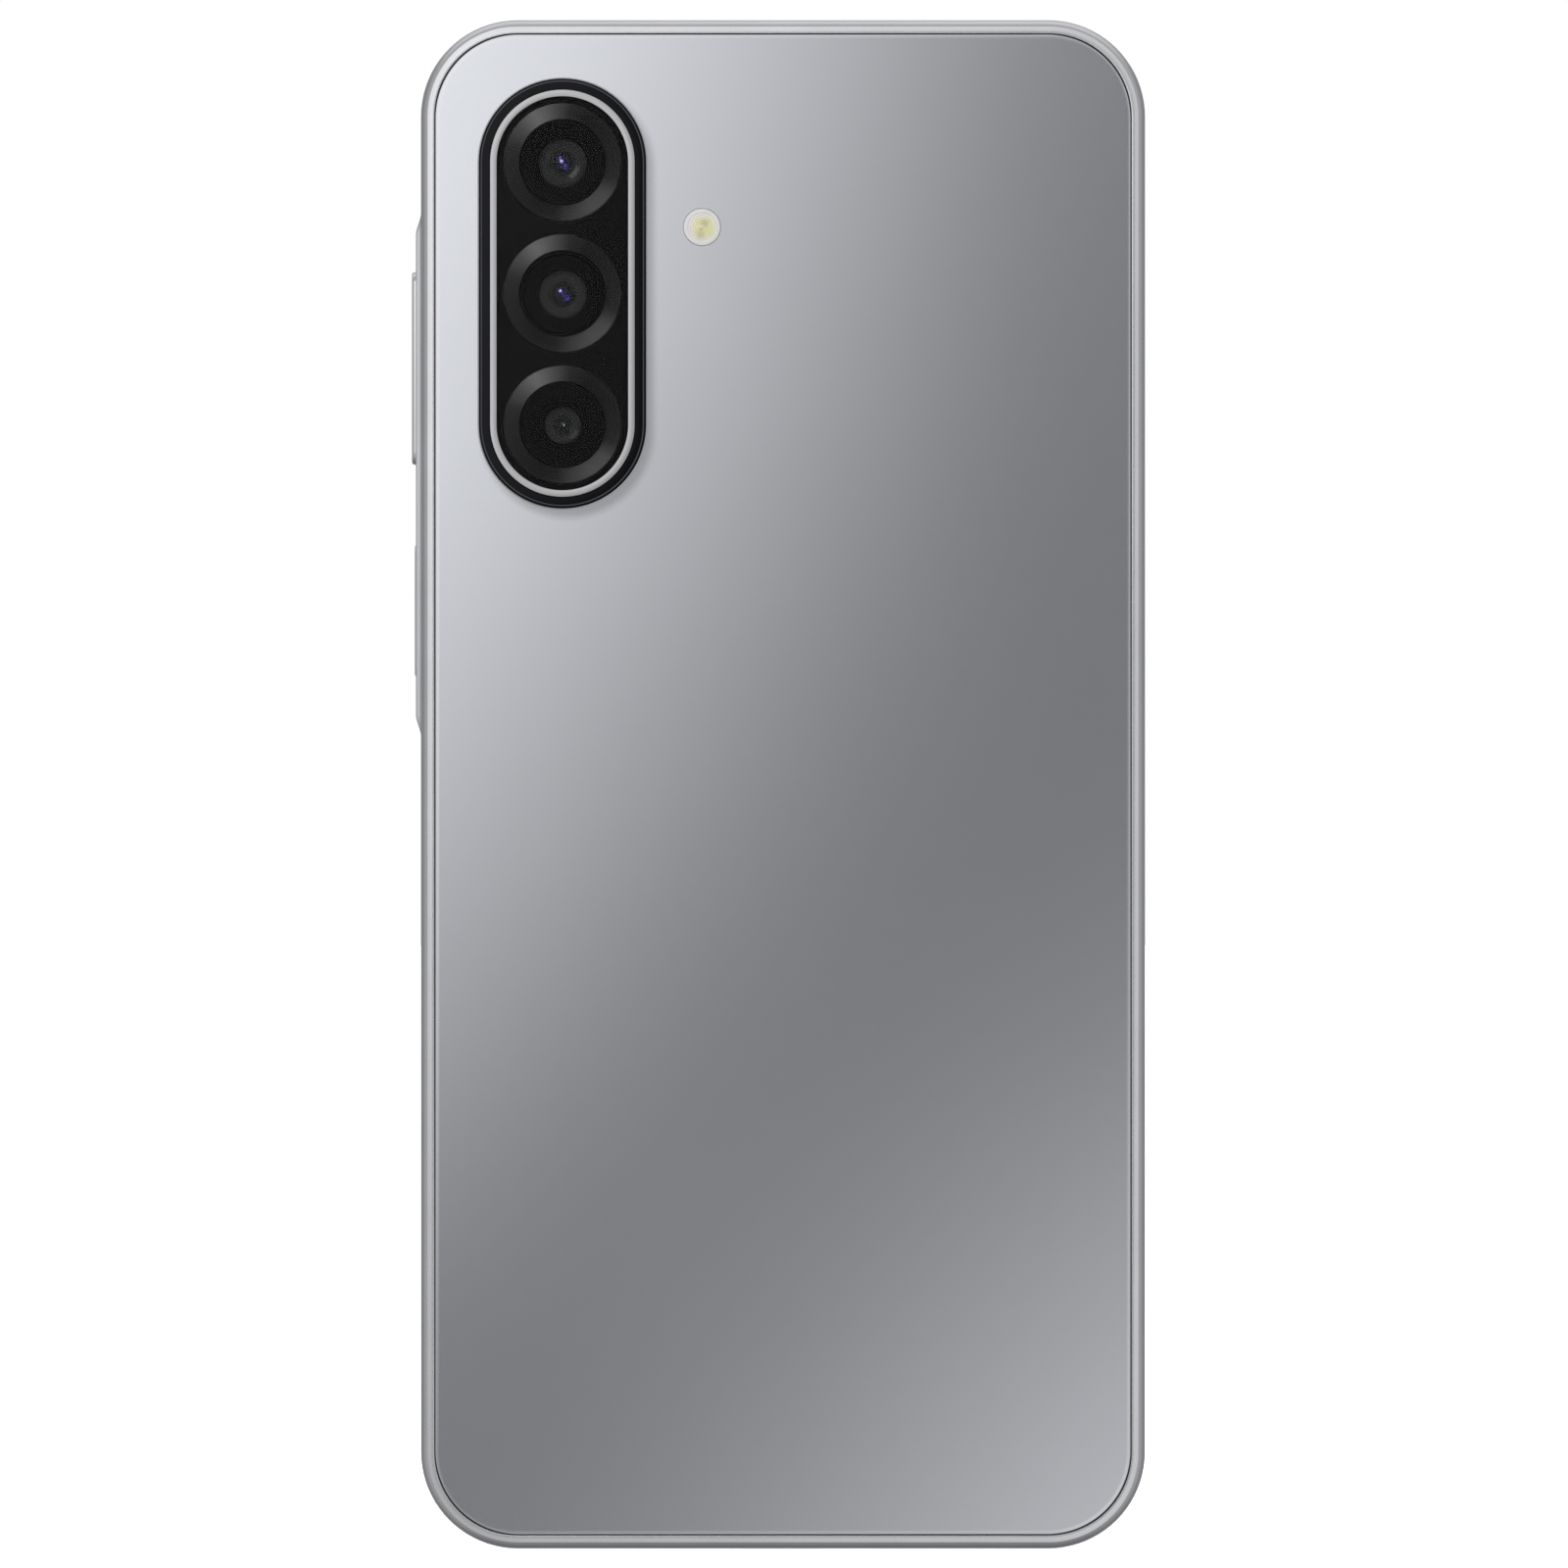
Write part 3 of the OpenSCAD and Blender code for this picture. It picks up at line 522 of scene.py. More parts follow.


# colours of a lens part from its dark ground to the middle of a painted glint
VIOLET_PAINTED_GLINT = [
    (0.0, (0.008, 0.006, 0.035)), (0.4, (0.10, 0.06, 0.62)),
    (0.75, (0.42, 0.34, 1.0)), (1.0, (1.0, 0.95, 1.0)),
]
GREY_PAINTED_GLINT = [(0.0, (0.004, 0.004, 0.004)), (0.5, (0.25, 0.24, 0.24)), (1.0, (1.0, 0.97, 0.96))]
# colours of a matt ring from its dark ground to its painted highlight
MATT_PAINTED_HIGHLIGHT = [(0.0, (0.02, 0.0202, 0.0195)), (1.0, (0.14, 0.13, 0.122))]


def painted_glint_colour(tree, where, y, spots, tones, near_r, far_r):
    """Colour with painted glints, brightening towards some spots: [right, up, strength] from the middle of
    a lens.
    """
    glow = 0.0
    for right, up, strength in spots:
        away = away_from(tree, where, LENS_X + right, y + up)
        near = remap(tree, away, strength, 0, near_r * MM, far_r * MM)
        glow = calc(tree, "MAXIMUM", near, glow)
    return ramp(tree, glow, tones)


def coat_with_painted_glints(name, y, spots, tones=VIOLET_PAINTED_GLINT, near_r=0.11, far_r=0.3):
    """Coated lens with painted glints in it."""
    mat, tree, shader = new_material(name)
    where = place_on(tree)
    feed(shader, {
        "Base Color": painted_glint_colour(tree, where, y, spots, tones, near_r, far_r),
        "Roughness": remap(tree, noise(tree, where, 250.0, 1.0), 0.1, 0.14),
        "Metallic": 0.9, "Coat Weight": 0.5,
    })
    return mat


def retainer_material(name, y, spots):
    """Matt ring in front of a lens, with a painted highlight that makes the side facing the light a little
    lighter.
    """
    mat, tree, shader = new_material(name)
    where = place_on(tree)
    grain = noise(tree, where, 900.0, 3.0)
    feed(shader, {
        "Base Color": painted_glint_colour(tree, where, y, spots, MATT_PAINTED_HIGHLIGHT, 0.1, 0.5),
        "Roughness": remap(tree, grain, 0.45, 0.55),
        "Normal": bump(tree, grain, 0.004, 2 * UM),
        "IOR": 1.3,
    })
    return mat


def flash_material():
    """Frosted plastic, milky at the rim, with yellow phosphor and darker chips behind its middle."""
    mat, tree, shader = new_material("flash_diffuser")
    where = place_on(tree)
    x, _, z = split(tree, where)
    aside = calc(tree, "ABSOLUTE", calc(tree, "SUBTRACT", x, (FLASH_X + 0.14) * MM))
    along = calc(tree, "ABSOLUTE", calc(tree, "SUBTRACT", z, (FLASH_Y - 0.05) * MM))
    # distance from the middle over a square with rounded corners
    corner = calc(tree, "MULTIPLY", calc(tree, "ADD", aside, along), 0.3)
    square = calc(tree, "ADD", calc(tree, "MAXIMUM", aside, along), corner)
    phosphor = ease(tree, square, 1.0, 0.0, 1.0 * MM, 2.3 * MM)
    tint = ramp(tree, phosphor, [
        (0.0, (0.75, 0.74, 0.73)), (0.6, (0.79, 0.77, 0.63)), (1.0, (0.78, 0.75, 0.45)),
    ])
    for right, up, dark, reach in FLASH_CHIPS:
        away = away_from(tree, where, FLASH_X + right, FLASH_Y + up)
        tint = scaled(tree, tint, ease(tree, away, dark, 1.0, 0.0, reach * MM))
    frost = noise(tree, where, 2600.0, 3.0)
    feed(shader, {
        "Base Color": tint,
        "Roughness": remap(tree, frost, 0.12, 0.28),
        "Alpha": remap(tree, frost, 0.88, 0.96),
        "Normal": bump(tree, frost, 0.1, 20 * UM),
    })
    return mat


def laminate_material():
    """Circuit board: green solder mask with copper tracks showing as fine lines."""
    mat, tree, shader = new_material("board_green")
    where = object_place(tree)
    tracks = add(tree, "TexBrick", {
        "Vector": where, "Scale": 420.0, "Mortar Size": 0.03,
        "Color1": (0.01, 0.10, 0.05, 1), "Color2": (0.015, 0.13, 0.065, 1), "Mortar": (0.05, 0.22, 0.10, 1),
    })
    feed(shader, {
        "Base Color": tracks["Color"],
        "Roughness": remap(tree, noise(tree, where, 1500.0, 3.0), 0.25, 0.45),
        "Normal": bump(tree, tracks["Fac"], 0.1, 30 * UM),
    })
    return mat


BRUSHED = {"stretch": (1, 1, 0.05)}
SURFACES = [
    # slot, colour, roughness, metallic, colour spread, grain, roughness spread, relief, depth, the rest
    ("frame_metal", (0.74, 0.745, 0.76), 0.26, 1, 0.02, 2500, 0.02, 0.01, 4),
    ("key_metal", (0.74, 0.745, 0.76), 0.24, 1, 0.02, 2500, 0.02, 0.01, 4),
    ("tray_metal", (0.72, 0.725, 0.74), 0.28, 1, 0.02, 2500, 0.02, 0.01, 4),
    ("plate_metal", (0.52, 0.53, 0.54), 0.45, 1, 0.08, 700, 0.1, 0.2, 40),
    ("adhesive", (0.01, 0.01, 0.01), 0.6, 0, 0.2, 1500, 0.1, 0.3, 30),
    ("bezel_black", (0.003, 0.0034, 0.0045), 0.16, 0, 0.1, 2200, 0.02, 0.01, 4, {"IOR": 1.22}),
    ("polished_ring", (0.55, 0.55, 0.56), 0.3, 1, 0.015, 3000, 0.02, 0.01, 4),
    ("black_mask", (0.002, 0.002, 0.0021), 0.35, 0, 0.1, 800, 0.03, 0.002, 1, {"IOR": 1.14}),
    ("module_black", (0.002, 0.002, 0.0021), 0.5, 0, 0.15, 900, 0.05, 0.01, 4, {"IOR": 1.15}),
    ("barrel_black", (0.002, 0.002, 0.0021), 0.5, 0, 0.15, 900, 0.05, 0.004, 2, {"IOR": 1.15}),
    ("coated_lens", (0.04, 0.03, 0.14), 0.1, 0.9, 0.3, 700, 0.03, 0.01, 4, {"Coat Weight": 1.0}),
    ("flash_phosphor", (0.58, 0.52, 0.2), 0.55, 0, 0.1, 3000, 0.1, 0.2, 30),
    ("sensor_cap", (0.60, 0.605, 0.62), 0.22, 1, 0.02, 2600, 0.03, 0.02, 10),
    ("flex_film", (0.45, 0.20, 0.03), 0.35, 0, 0.12, 1100, 0.08, 0.15, 20, BRUSHED),
    ("dome_steel", (0.75, 0.66, 0.42), 0.25, 1, 0.06, 2000, 0.06, 0.1, 20),
    ("sheet_steel", (0.56, 0.56, 0.57), 0.33, 1, 0.06, 1500, 0.08, 0.15, 20, BRUSHED),
    ("port_steel", (0.45, 0.45, 0.46), 0.3, 1, 0.05, 2000, 0.06, 0.1, 20),
    ("silicone", (0.05, 0.05, 0.055), 0.6, 0, 0.1, 1500, 0.08, 0.2, 30),
    ("display_stack", (0.05, 0.055, 0.06), 0.4, 0.3, 0.1, 900, 0.08, 0.1, 20),
    ("housing_black", (0.035, 0.035, 0.037), 0.55, 0, 0.12, 1000, 0.1, 0.25, 40),
    ("mesh_black", (0.03, 0.03, 0.032), 0.45, 0.6, 0.15, 3000, 0.1, 0.2, 30),
    ("chip_epoxy", (0.025, 0.025, 0.028), 0.5, 0, 0.15, 1600, 0.08, 0.2, 20),
    ("connector_black", (0.03, 0.03, 0.03), 0.45, 0, 0.12, 1800, 0.08, 0.15, 20),
    ("cable_jacket", (0.02, 0.03, 0.06), 0.5, 0, 0.12, 1800, 0.08, 0.15, 20),
    ("battery_foil", (0.10, 0.10, 0.105), 0.35, 0.6, 0.12, 350, 0.1, 0.25, 60),
    ("copper_coil", (0.72, 0.35, 0.18), 0.3, 1, 0.1, 1200, 0.08, 0.15, 30, BRUSHED),
    ("cone_film", (0.12, 0.11, 0.10), 0.5, 0, 0.12, 1600, 0.08, 0.2, 30),
    ("rotor_metal", (0.55, 0.50, 0.40), 0.35, 1, 0.08, 1500, 0.08, 0.15, 30),
    ("screw_steel", (0.40, 0.40, 0.41), 0.3, 1, 0.08, 2500, 0.08, 0.15, 20),
]
M = {slot: surface(slot + "_look", *rest) for slot, *rest in SURFACES}
M["rear_panel"] = panel_material()
M["screen_glass"] = screen_material()
M["camera_glass"] = clear_glass("camera_glass", (0.01, 0.01, 0.012), 0.06)
M["spun_metal"] = spun_material()
M["flash_diffuser"] = flash_material()
M["board_laminate"] = laminate_material()
bezel_edge = surface("bezel_edge", (0.10, 0.102, 0.11), 0.34, 1, 0.05, 2200, 0.03, 0.01, 4)
lens_stop = surface("lens_stop", (0.006, 0.007, 0.006), 0.5, 0, 0.1, 900, 0.05, 0.004, 2, {"IOR": 1.25})
lens_glass = clear_glass("lens_glass", (0.02, 0.022, 0.024), 0.12)
reflector_white = surface("reflector_white", (0.86, 0.82, 0.52), 0.4, 0, 0.03, 2500, 0.05, 0.1, 20)
contact_gold = surface("contact_gold", (0.83, 0.62, 0.28), 0.25, 1, 0.05, 2500, 0.05, 0.1, 20)


# ---------- body ----------
def smooth_step(t):
    t = min(1.0, max(0.0, t))
    return t * t * (3 - 2 * t)


def pad_shift(x, y, z):
    """How far the raised key pad moves a point of the key side outwards."""
    if x > -HALF_W + 0.4:
        return 0.0
    run = smooth_step((y - PAD_LOW) / PAD_RAMP) * smooth_step((PAD_HIGH - y) / PAD_RAMP)
    return PAD_T * run * smooth_step((PAD_EDGE_Z - abs(z)) / PAD_SLOPE)


def mouth(wall, deep, radius, lip=0.1):
    """Section of a cutter from outside a wall's surface inwards, which softens the hole's mouth."""
    way = 1 if wall > deep else -1
    return [
        (wall + way * 1.0, radius + lip * 1.6), (wall + way * 0.02, radius + lip * 1.1),
        (wall - way * lip * 0.35, radius + lip * 0.42), (wall - way * lip, radius), (deep, radius),
    ]


def small_hole(x, radius, wall, deep):
    """Cutter for a round hole in the top or bottom wall."""
    return slot_loft("hole_tool", x, 0, 0, mouth(wall, deep, radius), 12, up=True)


def side_frame():
    rim_s, band_s = RIM_INSET, 0.7
    band_r = 2 * band_s
    band_rise = (REAR_Z - 0.1 - SIDE_FLAT_Z) / sin(radians(60))
    side = [SIDE_FLAT_Z] + [PAD_EDGE_Z - PAD_SLOPE * i / 8 for i in range(9)] + [2.0, 1.0, 0.0]
    profile = [
        # inner wall of the rim, its flat top, and the riser down to the band
        (rim_s, 2.95), (rim_s, REAR_Z - 0.03), (rim_s - 0.02, REAR_Z - 0.008), (rim_s - 0.05, REAR_Z),
        (rim_s - 0.3, REAR_Z - 0.014), (band_s + 0.06, REAR_Z - 0.044),
        (band_s + 0.02, REAR_Z - 0.056), (band_s + 0.005, REAR_Z - 0.075),
        # curved band, flat side and the round towards the screen
        *arc((band_r, SIDE_FLAT_Z), (band_r, band_rise), 120, 180, 16)[:-1],
        *[(0.0, z) for z in side],
        *[(0.0, -z) for z in reversed(side[:-1])],
        *arc((0.55, -2.5), (0.55, 1.1), 180, 270, 8)[1:],
        # ledges inside
        (0.9, -3.6), (0.95, -3.55), (0.95, -3.1), (2.2, -3.1), (2.2, -2.2), (3.4, -2.2), (3.4, -1.4),
        (2.2, -1.4), (2.2, 2.25), (3.4, 2.25), (3.4, 2.95),
    ]
    steps = [PAD_RAMP * i / 10 for i in range(11)]
    heights = [PAD_HIGH - step for step in steps] + [PAD_LOW + step for step in reversed(steps)]
    obj = lofted("side_frame_body", body_stations(heights), CORNER_R, profile, True, pad_shift)
    deep, drill = 4, 3
    key_slot = mouth(-HALF_W - PAD_T, deep - HALF_W, KEY_W / 2 + KEY_GAP)
    tray_slot = mouth(HALF_W, HALF_W - deep, HEAD_R + 0.1, 0.06)
    cut(obj, [
        slot_loft("slot_tool", VOLUME_Y, 0, VOLUME_RUN, key_slot),
        slot_loft("slot_tool", POWER_Y, 0, POWER_RUN, key_slot),
        slot_loft("slot_tool", TRAY_Y, TRAY_Z, HEAD_RUN, tray_slot),
        slot_loft("hole_tool", 0, 0, PORT_RUN, mouth(0, deep, PORT_R + PORT_SHELL, 0.16), 16, up=True),
        small_hole(MIC_LOW_X, MIC_R, 0, drill),
        small_hole(MIC_HIGH_X, MIC_R, BODY_H, BODY_H - drill),
        block("duct", (-5, BODY_H - 1.75, -4), (5, BODY_H - 1.05, 0), 0.15),
        *[small_hole(x, SPEAKER_R, 0, drill) for x in SPEAKER_X],
    ])
    dress(obj, "frame_metal", "side_frame")


def rear_cover():
    low, edge, fillet, lip = cover_lo.z, COVER_EDGE, 0.08, 0.04
    corner = CORNER_R + 0.14
    obj = lofted("rear_cover_panel", body_stations(steps=28, radius=corner), corner, [
        (edge + 0.05, low), (edge, low + 0.05), (edge, REAR_Z - fillet),
        *arc((edge + fillet, REAR_Z - fillet), (fillet, fillet), 180, 90, 6)[1:], (edge + 0.5, REAR_Z),
    ])
    pill = lofted("pill_tool", pill_stations(), SKIRT_R + 0.1, [(0, low - 1), (0, REAR_Z + 1)])
    cut(obj, [pill, turned("flash_tool", FLASH_X, FLASH_Y, [
        (FLASH_HOLE_R, low - 1), (FLASH_HOLE_R, REAR_Z - lip), (FLASH_HOLE_R + lip / 3, REAR_Z - lip / 3),
        (FLASH_HOLE_R + lip, REAR_Z), (FLASH_HOLE_R + 0.15, REAR_Z + 1),
    ])])
    # a larger angle would smooth the flat panel into the small lip of the flash hole
    dress(obj, "rear_panel", "rear_cover", 20)
    # painted shade: a black strip low in the seam gap round the cover, standing in for the shade down the
    # gap
    outer, inner, deep, top = RIM_INSET - 0.01, edge + 0.07, REAR_Z - 0.5, REAR_Z - 0.07
    profile = [(outer, deep), (outer, top), (inner, top), (inner, deep)]
    seam_shade = lofted("rear_cover_seam_shade", body_stations(steps=28), CORNER_R, profile, True)
    dress(seam_shade, "adhesive", "rear_cover")


def cover_glass():
    back, edge, curve, punch_r = glass_hi.z, GLASS_INSET, 0.45, 1.9
    obj = lofted("screen_glass_plate", body_stations(steps=28), CORNER_R, [
        (edge + 0.6, FRONT_Z), (edge + curve, FRONT_Z),
        *arc((edge + curve, FRONT_Z + curve * 0.8), (curve, curve * 0.8), 270, 180, 8)[1:],
        (edge, back - 0.05), (edge + 0.05, back),
    ])
    slit = [(FRONT_Z - 1, 0.62), (FRONT_Z, 0.6), (FRONT_Z + 0.06, 0.55), (back + 1, 0.55)]
    stations = stadium_stations(5.5 - 0.55)
    top = BODY_H - edge
    rings = [[(sx + r * nx, top + sy + r * ny, z) for sx, sy, nx, ny in stations] for z, r in slit]
    hole = [(punch_r, FRONT_Z - 1), (punch_r, back + 1)]
    cut(obj, [build("slit_tool", rings), turned("punch_tool", 0, FRONT_CAM_Y, hole)])
    dress(obj, "screen_glass", "cover_glass")
    disc = turned("screen_camera_window", 0, FRONT_CAM_Y, [
        (punch_r - 0.3, FRONT_Z), (punch_r, FRONT_Z), (punch_r, back), (punch_r - 0.3, back),
    ])
    dress(disc, "camera_glass", "cover_glass")


# ---------- camera island ----------
def pill_piece(name, radius, profile, slot, node, angle=32, closed=True, material=None):
    """Piece that runs round the island."""
    obj = lofted(name, pill_stations(), radius, profile, closed)
    dress(obj, slot, node, angle, material=material)


def camera_island():
    top, low, seat, shelf = bezel_hi.z, bezel_lo.z, trim_lo.z, mask_lo.z
    skirt, trim_gap, bore, sill = ISLAND_R - SKIRT_R, TRIM_R + 0.02, TRIM_BORE_R, 6.5
    edge, soft = 0.3, 0.05
    pill_piece("camera_bezel_body", ISLAND_R, [
        (skirt, low), (skirt, REAR_Z), (0.0, REAR_Z),
        # small step, then the rounded shoulder
        (0.0, top - edge - soft), (soft * 0.3, top - edge - soft * 0.2),
        (soft * 0.8, top - edge + soft), (edge - soft, top - soft * 0.9),
        (edge + soft * 0.2, top - soft * 0.15), (edge + soft * 1.2, top),
        # groove of the trim ring, and the shelf under the glass
        (ISLAND_R - trim_gap - 0.06, top), (ISLAND_R - trim_gap, top - 0.06), (ISLAND_R - trim_gap, seat),
        (ISLAND_R - bore, seat), (ISLAND_R - bore, shelf), (ISLAND_R - sill, shelf), (ISLAND_R - sill, low),
    ], "bezel_black", "camera_bezel", 24)
    pill_piece("bezel_edge_line", 8.78, [
        (0.0, top - 0.2), (0.0, top - 0.02), (0.03, top + 0.004), (0.08, top + 0.008),
        (0.13, top + 0.004), (0.16, top - 0.02), (0.16, top - 0.2),
    ], "bezel_black", "camera_bezel", 60, material=bezel_edge)
    pill_piece("island_base_ring", ISLAND_R + 0.13, [
        (0.0, REAR_Z - 0.05), (0.0, REAR_Z + 0.01), (0.04, REAR_Z + 0.035), (0.12, REAR_Z + 0.05),
        (0.15, REAR_Z - 0.05),
    ], "polished_ring", "camera_bezel", 40)
    high, width, lip = trim_hi.z, TRIM_R - bore, 0.06
    pill_piece("camera_trim_band", TRIM_R, [
        (0.0, seat), (0.0, high - lip), *arc((lip, high - lip), (lip, lip), 180, 90, 5)[1:],
        (width / 2, high), *arc((width - lip, high - lip), (lip, lip), 90, 0, 5), (width, seat),
    ], "polished_ring", "camera_trim_ring")
    high, lip = window_hi.z, 0.1
    pill_piece("camera_window_glass", WINDOW_R, [
        (0.0, window_lo.z), (0.0, high - lip), *arc((lip, high - lip), (lip, lip), 180, 90, 4)[1:],
        (0.5, high),
    ], "camera_glass", "camera_window", closed=False)
    low, high, hole_r = mask_lo.z, mask_hi.z, RING_R + 0.05
    profile = [(0.0, low), (0.0, high - 0.03), (0.03, high - 0.002), (0.3, high - 0.002)]
    mask = lofted("camera_mask_plate", pill_stations(), WINDOW_R, profile)
    hole = [(hole_r, low - 1), (hole_r, high + 1)]
    cut(mask, [turned("lens_hole", LENS_X, LENS_Y + i * PITCH, hole) for i in (-1, 0, 1)])
    dress(mask, "black_mask", "camera_mask")


def lens_ring(name, y):
    """Spun cone between the mask and the lens barrel, with a fine step at its rim and its foot."""
    low, high = rings_lo.z, rings_hi.z - 0.004
    ring = turned(name, LENS_X, y, [
        (RING_R, low), (RING_R, high - 0.03), (RING_R - 0.03, high), (RING_R - 0.13, high),
        (RING_R - 0.16, high - 0.03), (BARREL_R + 0.07, RING_FOOT_Z), (BARREL_R + 0.02, RING_FOOT_Z - 0.03),
        (BARREL_R, RING_FOOT_Z - 0.1), (BARREL_R, low),
    ], 96, True)
    dress(ring, "spun_metal", "lens_rings", 26)


def barrel_front(r_out, r_open, top, drop=0.3, ridges=4):
    """Section of a barrel's mouth: flat rim, then small steps down to the opening."""
    funnel = r_open + 1.1
    foot = funnel - 0.04
    profile = [(r_out, top), (funnel, top), (foot, top - 0.03)]
    for i in range(ridges):
        a = foot - (foot - r_open) * (i + 1) / ridges
        z = top - 0.03 - drop * (i + 1) / ridges
        profile += [(a + 0.05, z + drop / ridges * 0.9), (a, z)]
    return profile


def module_box(y, half, high):
    return block("module_tool", (LENS_X - half, y - half, MODULE_Z), (LENS_X + half, y + half, high), 0.3)


def camera_module(name, node, y, half, opening):
    """Square housing with a round barrel that is open at the front."""
    high, top, seat, foot = 1.6, BARREL_TOP, 2.0, 1.4
    housing = module_box(y, half, high)
    barrel = turned("module_barrel", LENS_X, y, [
        (BARREL_R, foot), (BARREL_R, top - 0.06), (BARREL_R - 0.06, top),
        *barrel_front(BARREL_R - 0.1, opening, top),
        (opening, seat), (opening - 0.4, seat), (opening - 0.4, foot),
    ], 72, True)
    dress(join(name, [housing, barrel]), "module_black", node, 30)


def dome_section(r, low, rise, dome, steps=12):
    """Section of a flat disc with a domed front, from its rear rim to near its front middle."""
    ball = (r * r + dome * dome) / (2 * dome)
    top = low + rise
    profile = [(r, low), (r, top)]
    for i in range(1, steps):
        x = r * (1 - i / steps)
        profile.append((x, top + dome - ball + (ball * ball - x * x) ** 0.5))
    return profile


def lens_stack(name, body, y, r, low, dome, inner_r, inner_look, retainer_look):
    """Front lens of one camera: retaining ring, dark stop, coated inner element and clear front dome."""
    node = name + "_lens"
    seat = low + 0.42
    stop_r = 0.55 * r
    retainer = [
        (r, low), (r, seat), (r - 0.06, seat + 0.03), (stop_r + 0.12, seat), (stop_r + 0.05, seat - 0.02),
        (stop_r, seat - 0.1), (stop_r, low),
    ]
    stop = [
        (stop_r + 0.02, low), (stop_r + 0.02, seat - 0.1), (stop_r * 0.8, seat - 0.2),
        (inner_r + 0.02, seat - 0.24), (inner_r + 0.02, low),
    ]
    # the retainer's material carries a painted highlight
    for part, profile, material in (("_retainer", retainer, retainer_look), ("_stop", stop, lens_stop)):
        dress(turned(name + part, LENS_X, y, profile, 72, True), "barrel_black", node, 24, body, material)
    # the inner element's material carries painted glints
    element = turned(name + "_inner_lens", LENS_X, y, dome_section(inner_r, low, 0.1, 0.3), 48)
    dress(element, "coated_lens", node, 32, body, inner_look)
    front = turned(name + "_front_lens", LENS_X, y, dome_section(r - 0.02, seat + 0.04, 0.03, dome), 72)
    dress(front, "camera_glass", node, 32, body, lens_glass)


def cameras():
    upper, middle, lower = LENS_Y + PITCH, LENS_Y, LENS_Y - PITCH
    lens_ring("spun_ring_upper", upper)
    lens_ring("spun_ring_middle", middle)
    lens_ring("spun_ring_lower", lower)
    camera_module("ultrawide_module", "ultrawide_camera", upper, 5.2, 2.65)
    camera_module("macro_module", "macro_camera", lower, 4.5, 2.05)
    main_module(middle)
    # painted glints in the coated lenses: spots of reflected light put into their colour
    painted_glints = [(-0.3, 0.53, 0.8), (-0.13, 0.22, 0.95), (0.22, -0.22, 0.5), (0.42, -0.6, 0.3)]
    # painted highlight: a lighter crescent on the retainer's side towards the light
    painted_crescent = [(1.0, -1.3, 0.9), (1.25, -1.0, 1.0), (1.5, -0.65, 0.8)]
    lens_stack("ultrawide", "housing", upper, 2.6, 2.0, 0.65, 0.95,
               coat_with_painted_glints("ultrawide_coating_painted_glints", upper, painted_glints),
               retainer_material("ultrawide_retainer", upper, painted_crescent))
    painted_glints = [(-0.28, 0.39, 1.0), (0.12, -0.08, 0.35), (0.6, -0.5, 0.6), (0.42, -0.62, 0.45)]
    lens_stack("main", "focus_lens", middle, 2.6, 1.7, 0.6, 0.95,
               coat_with_painted_glints("main_coating_painted_glints", middle, painted_glints),
               retainer_material("main_retainer", middle, [(0.9, -1.5, 0.15)]))
    painted_glints = [(0.17, -0.01, 1.0), (-0.06, 0.24, 0.6)]
    painted_crescent = [(1.1, -1.25, 0.4), (1.4, -0.9, 0.4)]
    lens_stack("macro", "housing", lower, 2.0, 2.0, 0.4, 0.42,
               coat_with_painted_glints("macro_coating_painted_glints", lower, painted_glints, GREY_PAINTED_GLINT, 0.08, 0.2),
               retainer_material("macro_retainer", lower, painted_crescent))


def main_module(y):
    """The main camera's housing and collar, and the barrel that moves in them."""
    bore, collar_foot, top = 4.25, 2.1, BARREL_TOP
    housing = module_box(y, 6.3, 2.3)
    cut(housing, [turned("module_bore", LENS_X, y, [(bore, -0.9), (bore, 4)], 72)])
    collar = turned("module_collar", LENS_X, y, [
        (BARREL_R, collar_foot), (BARREL_R, top - 0.06), (BARREL_R - 0.06, top), (bore + 0.06, top),
        (bore, top - 0.06), (bore, collar_foot),
    ], 72, True)
    dress(join("main_module", [housing, collar]), "module_black", "main_camera", 30)
    low, top, opening, seat = -0.3, 3.1, 2.65, 1.7
    barrel = turned("main_barrel", LENS_X, y, [
        (4.2, low), (4.2, top - 0.06), (4.14, top), *barrel_front(4.0, opening, top),
        (opening, seat), (1.5, seat), (1.5, low),
    ], 72, True)
    dress(barrel, "barrel_black", "main_lens_barrel", 30, "focus_lens")


def flash():
    low, high, edge = flash_lo.z, flash_hi.z, 0.06
    flange_r, flange_z = 2.5, 3.04
    profile = [
        (flange_r, low), (flange_r, flange_z), (FLASH_R, flange_z), (FLASH_R, high - edge),
        *arc((FLASH_R - edge, high - edge), (edge, edge), 0, 90, 4)[1:],
    ]
    for i in range(5):
        r = 1.55 - 0.28 * i
        profile += [(r, high), (r - 0.05, high - 0.05), (r - 0.2, high - 0.012)]
    dress(turned("flash_cap", FLASH_X, FLASH_Y, profile), "flash_diffuser", "flash_lens", 20)
    base = turned("flash_base", FLASH_X, FLASH_Y, [
        (1.7, 0.9), (1.7, 2.9), (1.66, 2.92), (1.58, 2.92), (1.1, 2.32), (0.3, 2.3),
    ], 48)
    dress(base, "flash_phosphor", "flash_led", material=reflector_white)
    dies = []
    half = 0.42
    for step in (-0.36, 0.36):
        x, y = FLASH_X + step, FLASH_Y + step
        dies.append(block("die", (x - half, y - half, 2.28), (x + half, y + half, 2.5)))
    dress(join("flash_dies", dies), "flash_phosphor", "flash_led")


